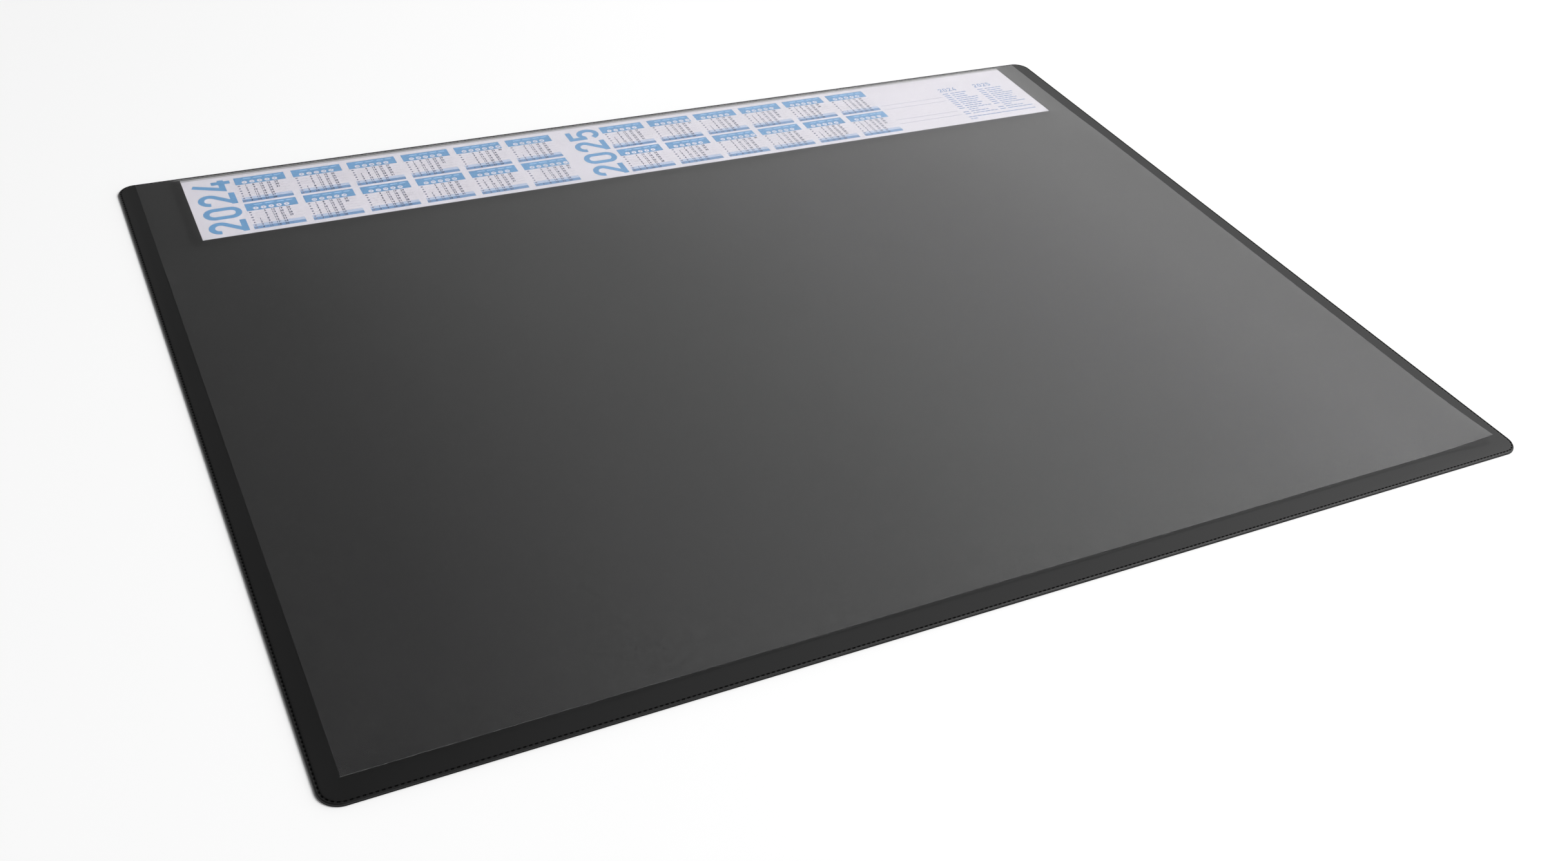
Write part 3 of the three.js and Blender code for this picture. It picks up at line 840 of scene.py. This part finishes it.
# %% [markdown]
# ## One month
# A month has a blue header with a white round for each week, seven rows of dates that run
# from Monday at the back to Sunday at the front, thin rules between the rows, and a pale
# and a darker band for the weekend. Plain small bars head the month and its rows. There
# are over seven hundred dates, far too many to place by hand. They are worked out from the
# year, and each number's outline comes once from Blender's own font and is then copied.

# %% Date numbers as small meshes
NUMBER_HEIGHT = 1.95 * MM
WEEK_NUMBER_HEIGHT = 1.45 * MM
NUMBER_BOLDNESS = 0.028
NUMBER_SMOOTHNESS = 2
NUMBER_NARROWING = 0.86
FONT_DIGIT_HEIGHT = 0.73
LARGEST_NUMBER = 53


def outer_edges(faces):
    """Edges that only one face has, in that face's direction."""
    edges = {}
    for face in faces:
        for a, b in zip(face, face[1:] + face[:1]):
            edges[(a, b)] = True
    return [(a, b) for a, b in edges if (b, a) not in edges]


def number_mesh(text):
    """Flat filled outlines of a number, in the font's own unit, centred on its middle."""
    curve = bpy.data.curves.new("number", "FONT")
    curve.body = text
    curve.align_x = "CENTER"
    curve.align_y = "CENTER"
    curve.resolution_u = NUMBER_SMOOTHNESS
    curve.offset = NUMBER_BOLDNESS
    carrier = bpy.data.objects.new("number", curve)
    mesh = carrier.to_mesh()
    points = [(vertex.co.x, vertex.co.y) for vertex in mesh.vertices]
    faces = [tuple(polygon.vertices) for polygon in mesh.polygons]
    carrier.to_mesh_clear()
    bpy.data.objects.remove(carrier)
    bpy.data.curves.remove(curve)
    return points, faces, outer_edges(faces)


NUMBER_MESHES = {number: number_mesh(str(number)) for number in range(1, LARGEST_NUMBER + 1)}


def write_number(ink_print, number, x, y, height, ink):
    points, faces, border = NUMBER_MESHES[number]
    scale = height / FONT_DIGIT_HEIGHT
    placed = [(x + along * scale * NUMBER_NARROWING, y + up * scale) for along, up in points]
    ink_print.add_mesh(placed, faces, border, ink)


print("faces in the number 28:", len(NUMBER_MESHES[28][1]))

# %% Month layout
HEADER_DEPTH = 8.7 * MM
SATURDAY_DEPTH = 2.7 * MM
SUNDAY_DEPTH = 3 * MM
BAND_SPLIT = 0.01 * MM
WEEK_RADIUS = 1.6 * MM
WEEK_FROM_BACK = 6.3 * MM
WEEK_FROM_LEFT = 5.55 * MM
WEEK_FROM_RIGHT = 1.95 * MM
MOST_WEEKS = 6
WEEK_PITCH = (MONTH_WIDTH - WEEK_FROM_LEFT - WEEK_FROM_RIGHT) / (MOST_WEEKS - 1)
DAY_PITCH = 3.03 * MM
FIRST_DAY_DROP = 1.75 * MM
DAY_NAME_INSET = 1.5 * MM
RULE_DEPTH = 0.12 * MM
NAME_BARS = ((5.4, 4.6), (11.6, 5.2), (18.6, 4.2), (24.2, 3.6))
NAME_BAR_DEPTH = 0.75 * MM
NAME_BAR_FROM_BACK = 2.4 * MM
DAY_NAME_WIDTHS = (1.4, 1.0, 1.4, 1.1, 0.9, 1.1, 1.1)
DAY_NAME_HEIGHT = 1.2 * MM
RULE_INSET = WEEK_FROM_LEFT / 2
print("weeks are", round(WEEK_PITCH / MM, 2), "mm apart")

# %% Draw one month
WEEK_MARK_RISE = 0.045 * MM
DAYS_IN_WEEK = 7
MONTHS_IN_YEAR = 12

fields = Print(FIELD_RISE)
numbers = Print(MARK_RISE)
marks = Print(MARK_RISE)
week_marks = Print(WEEK_MARK_RISE)


def draw_header(x, back, first, before, weeks):
    """The header's field and bars, and a round with the week's number for each week."""
    fields.add_box(x, back - HEADER_DEPTH, MONTH_WIDTH, HEADER_DEPTH, "ink_blue")
    for start, width in NAME_BARS:
        marks.add_box(x + start * MM, back - NAME_BAR_FROM_BACK, width * MM, NAME_BAR_DEPTH,
                      "ink_light")
    row = back - WEEK_FROM_BACK
    for week in range(weeks):
        centre = x + WEEK_FROM_LEFT + week * WEEK_PITCH
        marks.add_disc(centre, row, WEEK_RADIUS, "paper")
        monday = first + datetime.timedelta(days=DAYS_IN_WEEK * week - before)
        week_number = monday.isocalendar()[1]
        write_number(week_marks, week_number, centre, row, WEEK_NUMBER_HEIGHT, "ink_blue")


def draw_rows(x, first_row):
    """A small bar before each weekday's row, and a rule between two rows of dates."""
    for row, bar in enumerate(DAY_NAME_WIDTHS):
        middle = first_row - row * DAY_PITCH
        width = bar * MM
        marks.add_box(x + DAY_NAME_INSET - width / 2, middle - DAY_NAME_HEIGHT / 2, width,
                      DAY_NAME_HEIGHT, "ink_letter")
        if 0 < row < DAYS_IN_WEEK - 1:
            marks.add_box(x + RULE_INSET, middle + DAY_PITCH / 2, MONTH_WIDTH - RULE_INSET,
                          RULE_DEPTH, "ink_faint")


def draw_month(year, month, x, y):
    back = y + MONTH_DEPTH
    first = datetime.date(year, month, 1)
    next_first = datetime.date(year + month // MONTHS_IN_YEAR, month % MONTHS_IN_YEAR + 1, 1)
    days = (next_first - first).days
    before = first.weekday()
    first_row = back - HEADER_DEPTH - FIRST_DAY_DROP
    draw_header(x, back, first, before, math.ceil((before + days) / DAYS_IN_WEEK))
    fields.add_box(x, y, MONTH_WIDTH, SUNDAY_DEPTH - BAND_SPLIT, "ink_sunday")
    fields.add_box(x, y + SUNDAY_DEPTH, MONTH_WIDTH, SATURDAY_DEPTH, "ink_pale")
    draw_rows(x, first_row)
    for day in range(1, days + 1):
        week, row = divmod(before + day - 1, DAYS_IN_WEEK)
        centre = x + WEEK_FROM_LEFT + week * WEEK_PITCH
        write_number(numbers, day, centre, first_row - row * DAY_PITCH, NUMBER_HEIGHT, "ink_dark")


# %% [markdown]
# ## Both years, the notes and the lists
# The months run down each column first and then on to the next, as on the real strip. A
# grey strip of painted shade lies along the paper's back edge, where it tucks under the weld.
# Beside the months are some lines to write on and two lists of small print. From a step away
# a line of small print is a row of small dark patches, so each line here is a row of plain bars
# of uneven length.

# %% Draw the years
year_print = Print(FIELD_RISE)
digits = len(str(YEARS[0]))
SIDE_DIGIT_WIDTH = (PRINT_DEPTH - (digits - 1) * YEAR_DIGIT_GAP) / digits

x = LEFT_MARGIN
for number, year in enumerate(YEARS):
    base_line = (x + YEAR_HEIGHT, FRONT_MARGIN)
    write_year(year_print, year, base_line, YEAR_HEIGHT, SIDE_DIGIT_WIDTH, YEAR_DIGIT_GAP,
               YEAR_STROKE, "ink_blue", True)
    x += YEAR_HEIGHT + YEAR_TO_MONTHS
    for month in range(MONTHS_IN_YEAR):
        column, row = divmod(month, ROWS)
        month_x = x + column * (MONTH_WIDTH + MONTH_GAP)
        month_y = FRONT_MARGIN + (ROWS - 1 - row) * (MONTH_DEPTH + ROW_GAP)
        draw_month(year, month + 1, month_x, month_y)
    x += MONTHS_SPAN + (YEAR_BLOCK_GAP if number == 0 else NOTES_GAP)
print("numbers drawn for", len(YEARS) * MONTHS_IN_YEAR, "months")

# %% Painted shade along the paper's back edge
BACK_SHADE_DEPTH = 2.1 * MM
BACK_SHADE_INSET = 0.06 * MM

# A grey slab of painted shade where the paper's back edge tucks under the weld.
fields.add_box(BACK_SHADE_INSET, PAPER_DEPTH - BACK_SHADE_DEPTH,
               PAPER_LENGTH - 2 * BACK_SHADE_INSET, BACK_SHADE_DEPTH - BACK_SHADE_INSET,
               "painted_back_shade")
print("grey strip:", round(BACK_SHADE_DEPTH / MM, 1), "mm deep")

# %% Note lines
NOTE_LINE_DEPTH = 0.28 * MM
NOTE_LINE_PITCH = 5.7 * MM
NOTE_PAIR_PITCH = 22 * MM
NOTE_PAIR_FROM_FRONT = 12 * MM
NOTE_PAIRS = 2

for pair in range(NOTE_PAIRS):
    middle = FRONT_MARGIN + NOTE_PAIR_FROM_FRONT + pair * NOTE_PAIR_PITCH
    for side in (-0.5, 0.5):
        marks.add_box(x, middle + side * NOTE_LINE_PITCH, NOTES_WIDTH, NOTE_LINE_DEPTH, "ink_line")
print("note lines:", 2 * NOTE_PAIRS, "of", round(NOTES_WIDTH / MM, 1), "mm")

# %% List sizes
LIST_GAP = 2 * MM
LIST_PITCH = 2.9 * MM
LIST_BAR_DEPTH = 1.05 * MM
LIST_HEAD = 26.5 * MM
LIST_REACHES = (20.2, 18.2, 18.2, 24.7, 23.2, 20.7, 23.2, 21.2, 27.0, 14.2, 21.2, 27.4)
LIST_DATE_WIDTH = 4.6 * MM
LIST_INDENT = 6.6 * MM
LIST_INDENTED_LINE = 9
LIST_YEAR_HEIGHT = 4.9 * MM
LIST_YEAR_DIGIT = 2.8 * MM
LIST_YEAR_GAP = 1 * MM
LIST_YEAR_STROKE = 0.72 * MM
LIST_YEAR_FROM_BACK = 23.6 * MM
FOOT_FROM_BACK = 63.1 * MM
FOOT_LINE_REACH = 57 * MM
FOOT_SECOND_REACH = 5.5 * MM
print("a list has", len(LIST_REACHES), "lines")

# %% Lists
BAR_GAP = 0.65 * MM
SHORTEST_BAR = 1.2 * MM
BAR_LENGTHS = (1.6, 4.6)
LIST_SEED = 7

bar_lengths = np.random.default_rng(LIST_SEED)


def bar_line(start, end, front):
    """Plain bars of uneven length in a row."""
    while start < end - SHORTEST_BAR:
        width = min(bar_lengths.uniform(*BAR_LENGTHS) * MM, end - start)
        marks.add_box(start, front, width, LIST_BAR_DEPTH, "ink_list")
        start += width + BAR_GAP


list_x = x + NOTES_WIDTH + LISTS_GAP
list_width = (LISTS_WIDTH - LIST_GAP) / len(YEARS)
foot_front = PAPER_DEPTH - FOOT_FROM_BACK - LIST_BAR_DEPTH
for column, year in enumerate(YEARS):
    start = list_x + column * (list_width + LIST_GAP)
    write_year(year_print, year, (start, PAPER_DEPTH - LIST_YEAR_FROM_BACK), LIST_YEAR_HEIGHT,
               LIST_YEAR_DIGIT, LIST_YEAR_GAP, LIST_YEAR_STROKE, "ink_small_year", False)
    for line, reach in enumerate(LIST_REACHES):
        front = PAPER_DEPTH - LIST_HEAD - line * LIST_PITCH - LIST_BAR_DEPTH
        if line != LIST_INDENTED_LINE:
            marks.add_box(start, front, LIST_DATE_WIDTH, LIST_BAR_DEPTH, "ink_list")
        bar_line(start + LIST_INDENT, start + reach * MM, front)
bar_line(list_x, list_x + FOOT_LINE_REACH, foot_front)
bar_line(list_x, list_x + FOOT_SECOND_REACH, foot_front - LIST_PITCH)
print("list lines:", len(LIST_REACHES) * len(YEARS) + 2)

# %% Turn the print into pieces
fields.finish("print_fields")
year_print.finish("print_years")
marks.finish("print_marks")
numbers.finish("print_dates")
week_marks.finish("print_week_numbers")

# %% [markdown]
# ## The film as a fine sheet
# The film lies on the mat, climbs onto the paper with a soft ramp, and dips into the weld
# along the back. Its three other edges are free and stand up a little, and its front right
# corner has begun to curl. Cloth simulation could drape it, but this film is stiff and
# hardly sags. Its height is one formula over the sheet, so a fine grid gives a smooth
# surface that still follows the solid.

# %% Film height
FILM_THICKNESS = 0.2 * MM
FILM_CLEARANCE = 0.05 * MM
FILM_DRAPE = 8 * MM
FILM_BACK_SEAT = 0.3 * MM
FILM_WELD_DIP = 0.12 * MM
FILM_WAVE_HEIGHT = 0.25 * MM
FILM_WAVE_LENGTH = 210 * MM
FILM_EDGE_LIFT = 0.7 * MM
FILM_EDGE_REACH = 55 * MM
FILM_CORNER_LIFT = 2 * MM
FILM_CORNER_REACH = 60 * MM
PRINT_HEIGHT = 0.05 * MM
FILM_SEAT = BASE_HIGH.y - WELD_INSET - WELD_WIDTH / 2
FILM_DIPPED = BASE_HIGH.y - WELD_INSET


def ramp(value, start, end):
    share = np.clip((value - start) / (end - start), 0, 1)
    return share * share * (3 - 2 * share)


def film_height(x, y):
    over_x = ramp(x, PAPER_LOW.x - FILM_DRAPE, PAPER_LOW.x)
    over_x = over_x * (1 - ramp(x, PAPER_HIGH.x, PAPER_HIGH.x + FILM_DRAPE))
    over_y = ramp(y, PAPER_LOW.y - FILM_DRAPE, PAPER_LOW.y)
    over_y = over_y * (1 - ramp(y, PAPER_HIGH.y, FILM_SEAT - FILM_BACK_SEAT))
    paper_rise = (PAPER_THICKNESS + PRINT_HEIGHT) * over_x * over_y
    free = 1 - ramp(y, PAPER_LOW.y - FILM_EDGE_REACH, PAPER_LOW.y)
    wave = (1 - np.cos(2 * math.pi * (x - FILM_LOW.x) / FILM_WAVE_LENGTH)) / 2
    from_edge = np.minimum(np.minimum(y - FILM_LOW.y, x - FILM_LOW.x), FILM_HIGH.x - x)
    edge = np.maximum(0, 1 - from_edge / FILM_EDGE_REACH) ** 2
    from_corner = np.hypot(FILM_HIGH.x - x, y - FILM_LOW.y)
    corner = np.maximum(0, 1 - from_corner / FILM_CORNER_REACH) ** 2
    lift = FILM_WAVE_HEIGHT * wave + FILM_EDGE_LIFT * edge + FILM_CORNER_LIFT * corner
    dip = ramp(y, FILM_SEAT, FILM_DIPPED) * (FILM_CLEARANCE + FILM_WELD_DIP)
    return MAT_TOP + FILM_CLEARANCE + paper_rise + free * lift - dip


curled = float(film_height(FILM_HIGH.x, FILM_LOW.y)) - MAT_TOP
print("the curled corner stands", round(curled / MM, 2), "mm over the mat")

# %% Film mesh
FILM_STEP = 7 * MM
FILM_CLOSE_STEP = 1.4 * MM
FILM_FRONT_REACH = 40 * MM
FILM_FRONT_STEP = 3 * MM
FILM_SEAT_STEP = 0.3 * MM
FILM_WELD_STEP = 0.1 * MM


def lines_between(stops):
    """Grid lines from a list of (place, step up to that place)."""
    lines = [stops[0][0]]
    for place, step in stops[1:]:
        span = place - lines[-1]
        pieces = max(1, round(span / step))
        start = lines[-1]
        lines += [start + span * piece / pieces for piece in range(1, pieces + 1)]
    return np.array(lines)


def film_grid():
    xs = lines_between([(FILM_LOW.x, 0), (PAPER_LOW.x - FILM_DRAPE, FILM_STEP),
                        (PAPER_LOW.x, FILM_CLOSE_STEP), (PAPER_HIGH.x, FILM_STEP),
                        (PAPER_HIGH.x + FILM_DRAPE, FILM_CLOSE_STEP),
                        (FILM_HIGH.x, FILM_CLOSE_STEP)])
    ys = lines_between([(FILM_LOW.y, 0), (FILM_LOW.y + FILM_FRONT_REACH, FILM_FRONT_STEP),
                        (PAPER_LOW.y - FILM_DRAPE, FILM_STEP), (PAPER_LOW.y, FILM_CLOSE_STEP),
                        (PAPER_HIGH.y, FILM_STEP), (FILM_SEAT - FILM_BACK_SEAT, FILM_SEAT_STEP),
                        (FILM_SEAT, FILM_WELD_STEP), (FILM_HIGH.y, FILM_WELD_STEP)])
    return xs, ys


def film_mesh():
    xs, ys = film_grid()
    grid_x, grid_y = np.meshgrid(xs, ys)
    low = film_height(grid_x, grid_y)
    layers = [np.stack((grid_x, grid_y, low + rise), -1).reshape(-1, 3)
              for rise in (0, FILM_THICKNESS)]
    vertices = np.concatenate(layers)
    columns, rows = len(xs), len(ys)
    layer = columns * rows
    faces = []
    for row in range(rows - 1):
        for column in range(columns - 1):
            a = row * columns + column
            c = a + columns
            faces.append((a, c, c + 1, a + 1))
            faces.append((layer + a, layer + a + 1, layer + c + 1, layer + c))
    rim = [*range(columns - 1), *(row * columns + columns - 1 for row in range(rows - 1)),
           *(layer - columns + column for column in range(columns - 1, 0, -1)),
           *(row * columns for row in range(rows - 1, 0, -1))]
    for a, b in zip(rim, rim[1:] + rim[:1]):
        faces.append((a, b, layer + b, layer + a))
    return vertices, faces


film = new_piece("clear_overlay", *film_mesh(), [film_finish], smooth=True)
place_piece(film, "clear_film", "overlay_film")

# %% [markdown]
# ## The weld across the film
# Along the back edge the film is caught in the weld, and the tool's teeth press through it.
# Dents in the film would be true to life, but its dip faces away from a viewer in front,
# who would see none of them. Each dash there is instead a small dark wedge that fills the
# dip as painted shade for the dent, in line with the dashes of the cover below.

# %% Painted weld shade on the film
MARK_INSETS = (0.02 * MM, 0.2 * MM, 0.48 * MM, 0.78 * MM)
MARK_SUNK = 0.03 * MM
MARK_OUTER_DROP = 0.05 * MM
MARK_PROUD = 0.02 * MM
STRAIGHT_BACK = 0.999


def mark_rows():
    """Place, under side and upper side of a wedge at each of its insets."""
    level = float(film_height(0, FILM_HIGH.y - MARK_INSETS[-1])) + FILM_THICKNESS
    rows = []
    for inset in MARK_INSETS:
        under = float(film_height(0, FILM_HIGH.y - inset)) + FILM_THICKNESS - MARK_SUNK
        share = 1 - (inset - MARK_INSETS[0]) / (MARK_INSETS[-1] - MARK_INSETS[0])
        rows.append((FILM_HIGH.y - inset, under, level + MARK_PROUD - share * MARK_OUTER_DROP))
    return rows


def weld_marks():
    """The wedges, each with two points a row on its under side and two on its upper side."""
    rows = mark_rows()
    upper = 2 * len(rows)
    rim = [0, *range(1, upper, 2), *range(upper - 2, 0, -2)]
    vertices = []
    faces = []
    for index in range(len(DASHED) - 1):
        (start, outward, pressed), (end, _, still_pressed) = DASHED[index], DASHED[index + 1]
        over_film = FILM_LOW.x < end[0] and start[0] < FILM_HIGH.x
        if not (pressed and still_pressed and outward[1] > STRAIGHT_BACK and over_film):
            continue
        first = len(vertices)
        for side in (1, 2):
            for row in rows:
                vertices += [(start[0], row[0], row[side]), (end[0], row[0], row[side])]
        for step in range(len(rows) - 1):
            a = first + 2 * step
            b = a + upper
            faces += [(a, a + 2, a + 3, a + 1), (b, b + 1, b + 3, b + 2)]
        for a, b in zip(rim, rim[1:] + rim[:1]):
            faces.append((first + a, first + b, first + upper + b, first + upper + a))
    return vertices, faces


# The wedges are painted shade, in the dull black of the dashes.
film_weld_shade_piece = new_piece("film_weld_shade", *weld_marks(), [dash_shade_finish])
place_piece(film_weld_shade_piece, "black_cover")

# %% [markdown]
# ## Two helpers for the light
# Floor and world both go softly from one value to another, which one small function does.
# The other tells the rays that show a thing to the eye, straight, off a gloss or through
# glass, from those that only carry light. It is a function and not a shader group, because
# the Light Path node has to stay in the material itself.

# %% Rays that reach the eye
def eye_rays(tree):
    path = tree.nodes.new("ShaderNodeLightPath")
    seen = math_node(tree, "MAXIMUM", path.outputs["Is Camera Ray"], path.outputs["Is Glossy Ray"])
    return math_node(tree, "MAXIMUM", seen, path.outputs["Is Transmission Ray"])


# %% Soft blends
def blend_by(tree, measure, low, high):
    """Goes softly from one value to another, between two measures given as (measure, value)."""
    blend = tree.nodes.new("ShaderNodeMapRange")
    blend.interpolation_type = "SMOOTHSTEP"
    blend.inputs["From Min"].default_value, blend.inputs["To Min"].default_value = low
    blend.inputs["From Max"].default_value, blend.inputs["To Max"].default_value = high
    tree.links.new(measure, blend.inputs["Value"])
    return blend.outputs["Result"]


print("two light helpers are ready")

# %% [markdown]
# ## The floor
# The photograph has a white ground with only a thin soft shadow beside the mat. More light
# would make a grey floor white, but it would bleach the mat too. So the floor's own colour
# is nearly white, and rays that reach the eye also see some plain white mixed into it.
# Near the mat that is very little, which keeps the shadow. Further out it grows to all of
# it, so that no horizon shows.

# %% Floor
FLOOR_COLOR = (0.97, 0.97, 0.97, 1)
FLOOR_SIZE = 80
FLOOR_WHITE_NEAR = (1, 0.08)
FLOOR_WHITE_FAR = (4, 1)


def make_floor_finish():
    material = bpy.data.materials.new("studio_floor")
    material.use_nodes = True
    tree = material.node_tree
    shader = tree.nodes["Principled BSDF"]
    shader.inputs["Base Color"].default_value = FLOOR_COLOR
    shader.inputs["Roughness"].default_value = 1
    shader.inputs["Specular IOR Level"].default_value = 0
    white = tree.nodes.new("ShaderNodeEmission")
    white.inputs["Strength"].default_value = 1
    mix = tree.nodes.new("ShaderNodeMixShader")
    place = tree.nodes.new("ShaderNodeTexCoord")
    distance = tree.nodes.new("ShaderNodeVectorMath")
    distance.operation = "LENGTH"
    tree.links.new(place.outputs["Object"], distance.inputs[0])
    white_share = blend_by(tree, distance.outputs["Value"], FLOOR_WHITE_NEAR, FLOOR_WHITE_FAR)
    share = math_node(tree, "MULTIPLY", eye_rays(tree), white_share)
    tree.links.new(share, mix.inputs["Fac"])
    tree.links.new(shader.outputs[0], mix.inputs[1])
    tree.links.new(white.outputs[0], mix.inputs[2])
    tree.links.new(mix.outputs[0], tree.nodes["Material Output"].inputs["Surface"])
    return material


half = FLOOR_SIZE / 2
floor_corners = [(-half, -half, 0), (half, -half, 0), (half, half, 0), (-half, half, 0)]
floor = new_piece("studio_floor", floor_corners, [(0, 1, 2, 3)], [make_floor_finish()])
print("floor:", FLOOR_SIZE, "m wide")

# %% [markdown]
# ## The light from all round
# In the photograph the black mat goes slowly from dark at the left to grey at the right.
# That is no change of colour, but the film's reflection of something bright and wide
# beyond it. A big lamp could stand there, but its edge would show in the film. The world's
# own light grows towards +X instead, and falls off near the ground. Close above the
# horizon it is plain white all round, as a backdrop that a low view sees behind the mat.

# %% World
WORLD_LOW = 0.03
WORLD_SLOPE = 1.6
SIDE_SHARE_LOW = (0.15, 0.3)
SIDE_SHARE_HIGH = (0.42, 1)
BACKDROP_LOW = (0.18, 1)
BACKDROP_HIGH = (0.34, 0)


def make_world():
    world = bpy.data.worlds.new("studio_world")
    bpy.context.scene.world = world
    world.use_nodes = True
    tree = world.node_tree
    tree.nodes.clear()
    direction = tree.nodes.new("ShaderNodeTexCoord")
    parts = tree.nodes.new("ShaderNodeSeparateXYZ")
    tree.links.new(direction.outputs["Generated"], parts.inputs[0])
    to_the_right = math_node(tree, "MAXIMUM", parts.outputs["X"], 0)
    slope = math_node(tree, "MULTIPLY", to_the_right, WORLD_SLOPE)
    side_share = blend_by(tree, parts.outputs["Z"], SIDE_SHARE_LOW, SIDE_SHARE_HIGH)
    backdrop = blend_by(tree, parts.outputs["Z"], BACKDROP_LOW, BACKDROP_HIGH)
    side_light = math_node(tree, "ADD", math_node(tree, "MULTIPLY", slope, side_share), WORLD_LOW)
    level = math_node(tree, "MAXIMUM", side_light, backdrop)
    light = tree.nodes.new("ShaderNodeBackground")
    tree.links.new(level, light.inputs["Strength"])
    light.inputs["Color"].default_value = (1, 1, 1, 1)
    output = tree.nodes.new("ShaderNodeOutputWorld")
    tree.links.new(light.outputs[0], output.inputs["Surface"])


make_world()
print("world light:", WORLD_LOW, "at the left,", round(WORLD_LOW + WORLD_SLOPE, 2), "at the right")

# %% [markdown]
# ## The lamp
# A world this soft leaves no shadow to stand on. One square lamp, high at the right and a
# little to the front, brings the floor to its level and draws the thin shadow along the
# mat's left edge. A small lamp would draw it hard, so this one is over two metres wide.

# %% Lamp
LAMP_AZIMUTH = 110
LAMP_ELEVATION = 50
LAMP_DISTANCE = 5
LAMP_SIZE = 2.2
LAMP_POWER = 226


def soft_lamp(name):
    """The azimuth is counted from the mat's back, +Y, towards its right, +X."""
    data = bpy.data.lights.new(name, "AREA")
    data.shape = "SQUARE"
    data.size = LAMP_SIZE
    data.energy = LAMP_POWER
    lamp = bpy.data.objects.new(name, data)
    azimuth, elevation = math.radians(LAMP_AZIMUTH), math.radians(LAMP_ELEVATION)
    flat = LAMP_DISTANCE * math.cos(elevation)
    lamp.location = (flat * math.sin(azimuth), flat * math.cos(azimuth),
                     LAMP_DISTANCE * math.sin(elevation))
    lamp.rotation_euler = lamp.location.to_track_quat("Z", "Y").to_euler()
    bpy.context.scene.collection.objects.link(lamp)
    print(name, "at", [round(value, 2) for value in lamp.location])


soft_lamp("side_lamp")

# %% [markdown]
# ## Colour management and the last line
# Blender's usual view softens bright and strong colours. The Standard view shows a colour
# as it is written, which suits an object whose colours have to be right.

# %% Finish
bpy.context.scene.view_settings.view_transform = "Standard"
